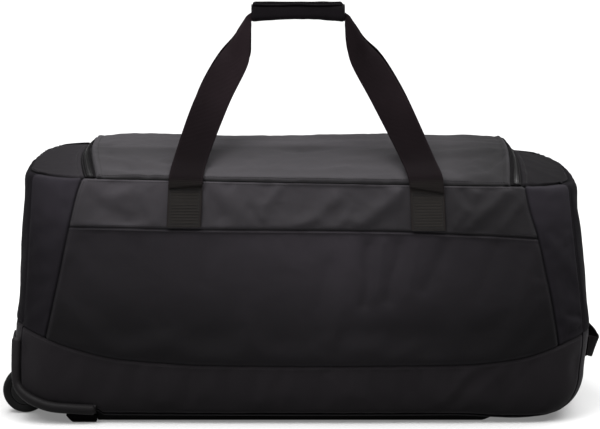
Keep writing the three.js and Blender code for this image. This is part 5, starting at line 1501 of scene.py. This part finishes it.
def build_grip():
    nx, na = 90, 96
    x = GRIP_X0 + (GRIP_X1 - GRIP_X0) * lines(GRIP_X1 - GRIP_X0, 1.7, (0, 0.4, 1.0, 1.9, 3.2, 5.0))
    mid = (GRIP_X0 + GRIP_X1) / 2
    t = (x - mid) / ((GRIP_X1 - GRIP_X0) / 2)
    base = superring(1, 1, na)
    S_out, S_in = [], []
    for xi, ti in zip(x, t):
        end = 1 - 0.10 * smooth((abs(ti) - 0.93) / 0.07)
        bow = 3.6 * (1 - ti * ti) - 1.2
        z0, z1 = GRIP_Z0 + bow, GRIP_Z1 - 2.0 - 1.2 * smooth((abs(ti) - 0.9) / 0.1)
        cz, hz = (z0 + z1) / 2, (z1 - z0) / 2
        hy = (GRIP_HALF - 0.6) * end
        w = 0.55 * value_noise(np.linspace(0, 5, na, endpoint=False), np.full(na, xi / 17), 51) + 0.35 * value_noise(np.linspace(0, 9, na, endpoint=False), np.full(na, xi / 8), 52)
        r = 1 + w[:, None] / 14 * smooth((1 - abs(ti)) * 8)
        ring = base * np.array([hy, hz * (1 if end > 0.99 else end)]) * r
        S_out.append(np.concatenate([np.full((na, 1), xi), ring[:, :1], ring[:, 1:] + cz], 1))
        inn = base * np.array([hy - 2.4, hz - 2.4])
        S_in.append(np.concatenate([np.full((na, 1), xi), inn[:, :1], inn[:, 1:] + cz], 1))
    A, B = np.array(S_out), np.array(S_in)
    ring = np.concatenate([A, B[::-1]], 0)
    ns = len(ring)
    verts = ring.reshape(-1, 3)
    quads = grid_quads(ns, na, wrap_u=True, wrap_v=True)
    if volume(verts, quads) < 0:
        quads = quads[:, ::-1]
    uv = np.stack([verts[:, 0], np.tile(np.arange(na) / na * 92, ns)], -1)
    o = make("grip_tube", verts, quads, uv, angle=60)
    finish_piece(o, "bag", ["grip_wrap"], M_GRIP)
    # Flap: comes over the top from the back and ends in a wavy free edge high on the front.
    fx0, fx1 = GRIP_X0 + 2.0, GRIP_X1 - 3.5
    fx = fx0 + (fx1 - fx0) * lines(fx1 - fx0, 1.7, (0, 0.5, 1.2, 2.2, 3.6))
    fv = lines(60, 1.5, (0, 0.4, 1.0, 2.0))
    X, V = np.meshgrid(fx, fv, indexing="ij")
    tt = (X - (fx0 + fx1) / 2) / ((fx1 - fx0) / 2)
    # Where the free edge lies round the section, in turns from the front (-y) over the top.
    wave = 0.030 * value_noise((X + 80) / 26, np.full_like(X, 0.4), 55) + 0.012 * np.sin(X / 11.0)
    a_free = math.pi * (0.83 + wave) - 0.10 * np.abs(tt) ** 6
    a_back = math.pi * -0.12
    ang = a_free + (a_back - a_free) * V
    c, s_ = np.cos(ang), np.sin(ang)
    bow = -1.2 + 3.6 * (1 - np.clip((X - mid) / ((GRIP_X1 - GRIP_X0) / 2), -1, 1) ** 2)
    z0, z1 = GRIP_Z0 + bow, GRIP_Z1 - 2.0
    cz, hz = (z0 + z1) / 2, (z1 - z0) / 2
    yy = np.sign(c) * np.abs(c) ** (2 / 3.2) * (GRIP_HALF - 0.6)
    zz = np.sign(s_) * np.abs(s_) ** (2 / 3.2) * hz + cz
    lift = 1.5 + 0.9 * np.exp(-(V * 60 / 6.0) ** 2) * (0.6 + 0.8 * value_noise((X + 60) / 18, np.full_like(X, 2.2), 57)) - 0.5 * smooth((np.abs(tt) - 0.94) / 0.06)
    lift += 0.35 * value_noise(X / 14, V * 5, 58)
    dirn = np.stack([np.zeros_like(X), yy / GRIP_HALF, (zz - cz) / hz], -1)
    dirn /= np.linalg.norm(dirn, axis=-1, keepdims=True)
    P = np.stack([X, yy, zz], -1) + dirn * lift[..., None]
    N = normals(P)
    if (N * dirn).sum() < 0:
        N = -N
    near = np.minimum(np.minimum(V, 1 - V) * 60, np.minimum(X - fx0, fx1 - X))
    P = P + N * (roll(near, 0.5, 1.0))[..., None]
    f = sheet_mesh("grip_flap", P, N, 1.4, np.stack([X, V * 60], -1), 0.5 * np.exp(-((near - 1.5) / 1.2) ** 2))
    finish_piece(f, "bag", [], M_FLAP_SHADED)
    # A row of stitches along the flap's free edge.
    j = int(np.argmin(np.abs(fv * 60 - 3.4)))
    stitch_line(P[2:-2, j] + N[2:-2, j] * 0.1, N[2:-2, j], 3.0, 2.2, 0.3)


build_grip()

# ---- end grab handle -------------------------------------------------------------------
er = [(-y, z, o_, l_) for y, z, o_, l_ in END_HANDLE[:0:-1]] + END_HANDLE
end_rails = []
for k in (-1, 0, 1):
    pts = []
    for y, z, o_, l_ in er:
        zz = z + k * END_HANDLE_HALF
        w = end_wall(1, np.array(float(y)), np.array(float(zz)))
        pts.append([w[0] + o_ + k * l_ + STRAP_THICK / 2, w[1], zz])
    end_rails.append(np.array(pts))
o, eC, eN, es = band("end_strap", end_rails, np.linspace(0, 1, 150), STRAP_THICK, 30.0)
finish_piece(o, "bag", ["end_handle"], M_GRAB_SHADED)


# ---- seams: stitches and piping --------------------------------------------------------
def seam_stitches(key, side, dist, lo=0.01, hi=0.99, pitch=3.6, length=2.7, radius=0.36):
    g = panels[key]
    if side in ("top", "low"):
        p = np.linspace(g["p_low"](200.0) if "z_low" in g else 0, g["p_high"](200.0), 400)
        z = g["z_high"](p) - dist if side == "top" else g["z_low"](p) + dist
        p0, p1 = g["p_low"](z), g["p_high"](z)
        k = np.linspace(lo, hi, 400)
        p = p0 + (p1 - p0) * k
        z = g["z_high"](p) - dist if side == "top" else g["z_low"](p) + dist
    else:
        zl, zh = g["z_low"](g["p_low"](200.0) if side == "left" else g["p_high"](200.0)), g["z_high"](g["p_low"](200.0) if side == "left" else g["p_high"](200.0))
        z = zl + (zh - zl) * np.linspace(lo, hi, 200)
        p = g["p_low"](z) + dist if side == "left" else g["p_high"](z) - dist
    P, N = panel_at(key, p, z)
    stitch_line(P, N, pitch, length, radius)


seam_stitches("pocket", "top", 3.0)
seam_stitches("yoke", "low", 3.4)
seam_stitches("yoke", "top", 4.2)
seam_stitches("yoke", "left", 3.6, 0.04, 0.96)
seam_stitches("yoke", "right", 3.6, 0.04, 0.96)
seam_stitches("pocket", "left", 3.6, 0.03, 0.97)
seam_stitches("pocket", "right", 3.6, 0.03, 0.97)
for w in ("front", "rear"):
    seam_stitches(f"tray_{w}", "top", 4.0)
seam_stitches("back", "left", 3.6, 0.03, 0.97)
seam_stitches("back", "right", 3.6, 0.03, 0.97)
seam_stitches("back", "top", 4.2)
# Lid hem.
for key, which in (("lid", "low"),):
    g = panels[key]
    j = int(np.argmin(np.abs(g["vs"] + HALF_TOP - 4.2)))
    stitch_line(g["P"][3:-3, j], g["N"][3:-3, j])
for i in (int(np.argmin(np.abs(panels["lid"]["us"] * 550 - 10.5))), int(np.argmin(np.abs((1 - panels["lid"]["us"]) * 550 - 10.5)))):
    g = panels["lid"]
    stitch_line(g["P"][i, 3:-10], g["N"][i, 3:-10], 3.0, 2.2, 0.32)
for w in ("left", "right"):
    g = panels[f"hump_{w}"]
    i = int(np.argmin(np.abs(g["us"] * 82 - 9.0)))
    stitch_line(g["P"][i, 3:-3], g["N"][i, 3:-3], 3.0, 2.2, 0.32)

# Handles: rows of stitches across the sewn ends, a bar tack on top and edge rows.
for word in ("front", "rear"):
    C, N, s, ts = RT[word]
    sgn = 1.0
    wall_out = outward(C[:, 9])
    if (N[5, 9] * wall_out[5]).sum() < 0:
        sgn = -1.0
    ws = np.array([0, 0.012, 0.035, 0.08, 0.16, 0.25, 0.34, 0.42, 0.47, 0.5, 0.53, 0.58, 0.66, 0.75, 0.84, 0.92, 0.965, 0.988, 1.0])
    n_rows = 2 * len(HANDLE) - 1
    share = np.minimum(ts, 1 - ts) * n_rows
    for back in (False, True):
        here = (ts > 0.5) if back else (ts <= 0.5)
        run = np.where(here & (share > 0.06) & (share < 1.95))[0]
        for col in (3, 15):
            up = sgn * N[run, col]
            stitch_line(C[run, col] + up * (STRAP_THICK / 2 + 0.05), up, 3.2, 2.4, 0.36)
        cols = slice(2, 17)
        rows_at = [0.08, 0.14] + list(np.arange(SEWN_ROWS, 1.72 * 25, SEWN_ROWS) / 25) + [1.80, 1.86, 1.92]
        for q in rows_at:
            i = run[int(np.argmin(np.abs(share[run] - q)))]
            up = sgn * N[i, cols]
            line, up = even(C[i, cols] + up * (STRAP_THICK / 2 + 0.02), 0.8, up)
            stitch_line(line, up, *((2.2, 1.8, 0.42) if q < 0.15 or q > 1.75 else (3.0, 2.3, 0.3)))
# Grab handle's sewn ends.
for i0, i1 in ((2, 17), (133, 148)):
    for col in (3, 15):
        d = eN[i0:i1, col]
        d = d * np.sign((d * outward(eC[i0:i1, col])).sum())
        stitch_line(eC[i0:i1, col] + d * 1.15, d, 3.0, 2.2, 0.34)

st = build_stitches("seam_stitches")
finish_piece(st, "bag", [], M_THREAD)

# Piping along the right end's borders and on along the lower front and back edges.
def piping(name, path, up, radius, mat):
    P, U = even(path, 2.2, up)
    S = tube_sections(P, radius, 10, 1.0, U)
    s = arc_lengths(P)
    uv = np.stack(np.broadcast_arrays(np.linspace(0, 2 * math.pi * radius, 10)[None], s[:, None]), -1)
    o = loft(name, S, uv, True, True, np.full(S.shape[:2], 0.35), angle=70)
    return finish_piece(o, "bag", [], mat)


for lr, side in (("left", -1), ("right", 1)):
    low, high = float(base_seam(side * 440.0)), float(seam_top(side * 400.0))
    for word, sy in (("front", -1), ("rear", 1)):
        if side < 0:  # the left border is a plain seam
            continue
        z = np.linspace(EDGE_Z + 2, high - 0.5, 160)
        P = wall(border(side)(z), z)
        # The cord runs on along the lower edge of the base.
        pe = np.linspace(float(border(1)(EDGE_Z)), float(along(np.array(-262.0), np.array(EDGE_Z))), 300)
        P = np.concatenate([wall(pe, np.full_like(pe, EDGE_Z))[::-1][:-6], P])
        U = outward(P)
        P = low_sag(P + U * -0.6)
        if sy > 0:
            P, U = flip_y(P), flip_y(U)
        piping(f"piping_{lr}_{word}", P, U, 1.15, M_PIPING)
    # Cord under the shoulder panel, along the top of the end wall and round its corners.
    q = np.linspace(0, 1, 260)
    reach = float(end_reach(high))
    dist = -reach + 2 * reach * q
    P = end_wall(side, dist, np.full_like(dist, high))
    P = P + outward(P) * -0.6
    piping(f"piping_{lr}_top", P, outward(P), 1.15, M_PIPING)


# ---- wheel housings --------------------------------------------------------------------
def build_housing(sy):
    z_rows = np.unique(np.concatenate([np.linspace(EDGE_Z, RIM_TOPS[0], 22), np.linspace(RIM_TOPS[0], HOUSING_TOP, 34)]))
    # Columns across the end wall, from the inner edge to the border.
    share = np.concatenate([np.linspace(0, 0.78, 42)[:-1], np.linspace(0.78, 1, 26)])
    c, z = np.meshgrid(share, z_rows, indexing="ij")
    reach = end_reach(z)
    d = sy * (66 + (reach - 66) * c)
    end = hollow(end_wall(-1, d, z))
    # Underside from the end line to the end of the lower arm.
    foot_z = FLOOR + 0.001
    p_start = float(border(-1)(EDGE_Z))
    p_end = float(along(np.array(HOUSING_END), np.array(EDGE_Z)))
    ks = np.concatenate([np.linspace(0, 0.3, 22)[:-1], np.linspace(0.3, 1, 26)])
    k, c2 = np.meshgrid(ks, share, indexing="ij")
    zz = FLOOR + 0.001 + EDGE_LEVEL * np.clip((c2 - 0.9) / 0.1, 0, 1) ** 2
    rch = end_reach(zz)
    a = end_wall(-1, sy * (66 + (rch - 66) * c2), zz)
    pk = p_start + (p_end - p_start) * k
    outer = wall(pk, zz)
    outer = np.stack([outer[..., 0], sy * np.abs(outer[..., 1]), outer[..., 2]], -1)
    inner_x = -np.abs(a[..., 0]) * (1 - k) + HOUSING_END * k
    flat_edge = np.abs(wall(pk, np.full_like(pk, foot_z))[..., 1])
    y_abs = np.where(c2 <= 0.9, 66 + (flat_edge - 66) * c2 / 0.9, np.abs(outer[..., 1]))
    x = np.where(c2 >= 1, outer[..., 0], inner_x + (outer[..., 0] - inner_x) * smooth((c2 - 0.55) / 0.45))
    under_h = np.stack([x, sy * y_abs, zz], -1)
    under_h[0] = a[0]
    # Foot rounding between the end and the underside.
    tt = np.linspace(0, 1, 5)
    c3, t3 = np.meshgrid(share, tt, indexing="ij")
    r0 = EDGE_LEVEL * np.clip((c3 - 0.9) / 0.1, 0, 1) ** 2
    z3 = FLOOR + 0.001 + r0 + (EDGE_LEVEL - r0) * t3
    foot = end_wall(-1, sy * (66 + (end_reach(z3) - 66) * c3), z3)
    under_h, foot = hollow(under_h), hollow(foot)
    # Front strip up to the rim's upper border.
    col_x = [None, 0.36, 0.7, -325, -307, -290, HOUSING_END]
    knots_p = []
    for kx in col_x:
        zt = np.array(33.0)
        s0 = float(border(-1)(zt))
        x0 = float(along(np.array(-325.0), zt))
        knots_p.append(s0 if kx is None else s0 + (x0 - s0) * kx if 0 < kx < 1 else float(along(np.array(float(kx)), zt)))
    knots_p = np.array(knots_p)
    top_of = lambda p: read((knots_p, np.array(RIM_TOPS, float)), p)
    vs = np.linspace(0, 1, 30)
    ps = np.concatenate([np.linspace(0, 0.3, 22)[:-1], np.linspace(0.3, 1, 26)])
    K, V = np.meshgrid(ps, vs, indexing="ij")
    zlo = np.full(K.shape, EDGE_Z)
    start_p = border(-1)
    zs = zlo
    for _ in range(6):
        p0 = start_p(zs)
        pe = np.full(K.shape, p_end)
        P_ = p0 + (pe - p0) * K
        zs = EDGE_Z + (top_of(P_) - EDGE_Z) * V
    strip = wall(P_, zs)
    strip[..., 1] = sy * np.abs(strip[..., 1])
    strip[0] = np.stack([np.interp(zs[0], z_rows, end[-1][:, j]) for j in range(3)], -1)
    # The strip's first column follows the end wall's border up to the rim.
    grids = [(end, np.stack([d, z], -1)), (foot, foot[..., :2]), (under_h, under_h[..., :2]), (strip, np.stack([P_, zs], -1))]
    v, q, t, uv = weld(*grids)
    border_line = np.concatenate([end[-1][z_rows >= zs[0, -1] - 1e-6][::-1], strip[:, -1]])
    # Distance of every point from the rim's border line.
    best = np.full(len(v), 1e9)
    for a_, b_ in zip(border_line[:-1], border_line[1:]):
        ab = b_ - a_
        tt_ = np.clip(((v - a_) @ ab) / max(ab @ ab, 1e-9), 0, 1)
        best = np.minimum(best, np.linalg.norm(v - a_ - tt_[:, None] * ab, axis=1))
    bead = 0.1 * RIM_HIGH * np.sqrt(np.clip(1 - ((best - RIM_REACH / 2 + 0.4) / (RIM_REACH / 2)) ** 2, 0, 1))
    out = outward(v)
    # Centre line of the rim: down the border, round the corner and along the lower arm.
    zr = np.linspace(HOUSING_TOP + 8.5, 50, 68)
    down = end_wall(-1, sy * (end_reach(zr) - RIM_IN[0]), zr)
    pa = P_[4:, -1]
    arm = wall(pa, top_of(pa) - RIM_IN[1])
    arm[..., 1] = sy * np.abs(arm[..., 1])
    line = even(np.concatenate([down, arm]), 1.2)
    for _ in range(60):
        line[1:-1] = (line[:-2] + 2 * line[1:-1] + line[2:]) / 4
    return v, q, t, uv, out, bead, line


for word, sy in (("front", -1), ("rear", 1)):
    v, q, t, uv, out, bead, line = build_housing(sy)
    v, line = low_sag(v), low_sag(line)
    o = thicken(f"guard_{word}", v, q, t, uv, HOUSING_GAP + HOUSING_THICK + bead, np.full(len(v), HOUSING_GAP), out, angle=40)
    finish_piece(o, "bag", [f"wheel_housing_{word}"], M_HOUSING)
    # The rim is one round bar with domed ends.
    up = outward(line)
    s = arc_lengths(line)
    to_end = np.minimum(s, s[-1] - s)
    r = (RIM_R + 0.8 * smooth((60 - line[:, 2]) / 35)) * np.sqrt(np.clip(1 - (1 - np.minimum(to_end + 0.25, 5.0) / 5.0) ** 2, 0.02, 1))
    S_ = tube_sections(line + up * (HOUSING_GAP + 3.4), r, 22, 0.92, up)
    uvr = np.stack(np.broadcast_arrays(np.linspace(0, 2 * math.pi * RIM_R, 22)[None], s[:, None]), -1)
    o = loft(f"guard_rim_{word}", S_, uvr, True, True, angle=60)
    finish_piece(o, "bag", [], M_RIM)
    # Foot under the lower arm.
    y0, y1 = sorted((sy * 134.0, sy * 158.0))
    prof = np.array([[-308, 9.2], [-304.5, 4.6], [-300.5, 0.7], [-298.5, 0.0], [-269.2, 0.0], [-268.3, 0.3], [-268.0, 1.0], [-268, 9.2]])
    ys = np.array([y0, y0 + 0.4, y0 + 1.2, y1 - 1.2, y1 - 0.4, y1])
    ins = np.array([0.9, 0.3, 0, 0, 0.3, 0.9])
    S_ = np.stack([np.stack([prof[:, 0] + np.where(prof[:, 0] < -290, ins[k], -ins[k]) * 0.6, np.full(len(prof), ys[k]), np.where(prof[:, 1] < 2, prof[:, 1] + ins[k] * 0.5 * (prof[:, 1] < 1.5), prof[:, 1])], -1) for k in range(6)])
    o = loft(f"foot_{word}", S_, S_[..., [0, 1]], True, True, angle=40)
    finish_piece(o, "bag", [f"housing_foot_{word}"], M_FOOT)

# ---- skid rails ------------------------------------------------------------------------
for word, sy in (("front", -1), ("rear", 1)):
    y0, y1 = sorted((sy * 126.0, sy * 148.0))
    prof = np.array([[-267.4, 12.7], [-267.4, 1.4], [-267.0, 0.5], [-266.1, 0.0], [-150, 0], [0, 0], [120, 0], [234, 0], [237, 0.12], [240, 1.2], [253.4, 7.1], [254, 7.6], [-256.6, 7.6]])
    ys = np.array([y0, y0 + 0.35, y0 + 1.2, y0 + 2.4, y1 - 2.4, y1 - 1.2, y1 - 0.35, y1])
    ins = np.array([1.6, 0.7, 0.15, 0, 0, 0.15, 0.7, 1.6])
    S_ = np.stack([np.stack([prof[:, 0], np.full(len(prof), ys[k]), np.where(prof[:, 1] < 5, np.maximum(prof[:, 1], ins[k]), prof[:, 1])], -1) for k in range(8)])
    o = loft(f"rail_{word}", S_, S_[..., [0, 1]], True, True, angle=40)
    finish_piece(o, "bag", [f"skid_rail_{word}"], M_RAIL)


# ---- wheels ----------------------------------------------------------------------------
def lathe(name, profile, cy, n=96, spokes=None):
    prof = np.asarray(profile, float)
    a = np.linspace(0, 2 * math.pi, n, endpoint=False)
    S_ = np.stack([np.stack([WHEEL[0] + prof[:, 0] * math.cos(t_), cy + prof[:, 1], WHEEL[2] + prof[:, 0] * math.sin(t_)], -1) for t_ in a])
    verts = S_.reshape(-1, 3)
    quads = grid_quads(n, len(prof), wrap_u=True, wrap_v=True)
    if volume(verts, quads) < 0:
        quads = quads[:, ::-1]
    arc = np.concatenate([[0], np.cumsum(np.linalg.norm(np.diff(prof, axis=0), axis=1))])
    uv = np.stack(np.broadcast_arrays(arc[None], (a * WHEEL_R)[:, None]), -1).reshape(-1, 2)
    return make(name, verts, quads, uv, angle=40)


half = WHEEL_W / 2
TYRE = [(HUB_R + 0.4, -half + 2), (HUB_R + 1.2, -half + 1.5), (HUB_R + 3.0, -half + 1.2), (WHEEL_R - 5.5, -half + 0.25), (WHEEL_R - 4, -half), (WHEEL_R - 2.6, -half + 0.5), (WHEEL_R - 1.4, -half + 1.7),
        (WHEEL_R - 0.6, -half + 3.4), (WHEEL_R - 0.15, -half + 5.2), (WHEEL_R, -half + 6.4), (WHEEL_R, -2.0), (WHEEL_R - 0.9, -1.5), (WHEEL_R - 0.9, 1.5), (WHEEL_R, 2.0),
        (WHEEL_R, half - 6.4), (WHEEL_R - 0.15, half - 5.2), (WHEEL_R - 0.6, half - 3.4), (WHEEL_R - 1.4, half - 1.7), (WHEEL_R - 2.6, half - 0.5), (WHEEL_R - 4, half), (WHEEL_R - 5.5, half - 0.25),
        (HUB_R + 3.0, half - 1.2), (HUB_R + 1.2, half - 1.5), (HUB_R + 0.4, half - 2)]
HUB = [(3.5, -half), (6.4, -half), (7.1, -half + 0.3), (7.5, -half + 1.0), (8.3, -half + 2.8), (9.2, -half + 3.2), (15.2, -half + 3.2), (16.4, -half + 2.6), (18.2, -half + 2.4), (18.8, -half + 2.7), (HUB_R, -half + 3.3),
       (HUB_R, half - 3.3), (18.8, half - 2.7), (18.2, half - 2.4), (16.4, half - 2.6), (15.2, half - 3.2), (9.2, half - 3.2), (8.3, half - 2.8), (7.5, half - 1.0), (7.1, half - 0.3), (6.4, half), (3.5, half)]
for word, sy in (("front", -1), ("rear", 1)):
    o = lathe(f"tread_{word}", TYRE, sy * WHEEL[1])
    finish_piece(o, f"wheel_{word}", [f"wheel_tyre_{word}"], M_TREAD)
    o = lathe(f"hub_{word}", HUB, sy * WHEEL[1])
    finish_piece(o, f"wheel_{word}", [f"wheel_hub_{word}"], M_HUB)
    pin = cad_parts[f"axle_{word}"]
    pin.data.materials.clear()
    pin.data.materials.append(M_STEEL)

# ---- stage, light and camera -----------------------------------------------------------
def stage_mesh():
    me = bpy.data.meshes.new("floor")
    h = 40.0
    me.from_pydata([(-h, -h, 0), (h, -h, 0), (h, h, 0), (-h, h, 0)], [], [(0, 1, 2, 3)])
    o = bpy.data.objects.new("floor", me)
    bpy.context.scene.collection.objects.link(o)
    m = Nodes("floor_paint")
    m.bsdf.inputs["Base Color"].default_value = (0.31, 0.31, 0.31, 1)
    m.bsdf.inputs["Emission Color"].default_value = (1, 1, 1, 1)
    m.bsdf.inputs["Emission Strength"].default_value = 0.2
    m.bsdf.inputs["Roughness"].default_value = 0.9
    m.bsdf.inputs["Specular IOR Level"].default_value = 0.1
    me.materials.append(m.mat)
    o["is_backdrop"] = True


stage_mesh()
scene = bpy.context.scene
world = bpy.data.worlds.new("studio")
scene.world = world
world.use_nodes = True
bg = world.node_tree.nodes["Background"]
bg.inputs[0].default_value = (1.0, 1.0, 1.0, 1)
bg.inputs[1].default_value = 0.15


def sun(name, strength, angle, tilt_x, tilt_y):
    data = bpy.data.lights.new(name, "SUN")
    data.energy = strength
    data.angle = math.radians(angle)
    o = bpy.data.objects.new(name, data)
    o.rotation_euler = (math.radians(tilt_x), math.radians(tilt_y), 0)
    scene.collection.objects.link(o)


sun("overhead", 9.6, 76, -5, 13)
key_data = bpy.data.lights.new("softbox", "AREA")
key_data.shape = "SQUARE"
key_data.size = 1.5
key_data.energy = 82.0
key = bpy.data.objects.new("softbox", key_data)
key.location = (-1.0, -1.3, 2.0)
aim = np.array([-0.05, 0.0, 0.25]) - np.array(key.location)
key.rotation_euler = (math.atan2(math.hypot(aim[0], aim[1]), -aim[2]), 0, math.atan2(aim[1], aim[0]) - math.pi / 2)
scene.collection.objects.link(key)

cam_data = bpy.data.cameras.new("camera")
cam_data.sensor_width = 36.0
cam_data.sensor_fit = "HORIZONTAL"
cam_data.lens = 2206 / 600 * 36.0
cam = bpy.data.objects.new("camera", cam_data)
E = math.radians(9.5)
D = 3.0
cam.location = (-0.003 - 0.002, -D * math.cos(E), 0.249 + D * math.sin(E))
cam.rotation_euler = (math.pi / 2 - E, 0, 0)
scene.collection.objects.link(cam)
scene.camera = cam
cam_data.clip_end = 200
scene.view_settings.view_transform = "Standard"

low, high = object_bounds()
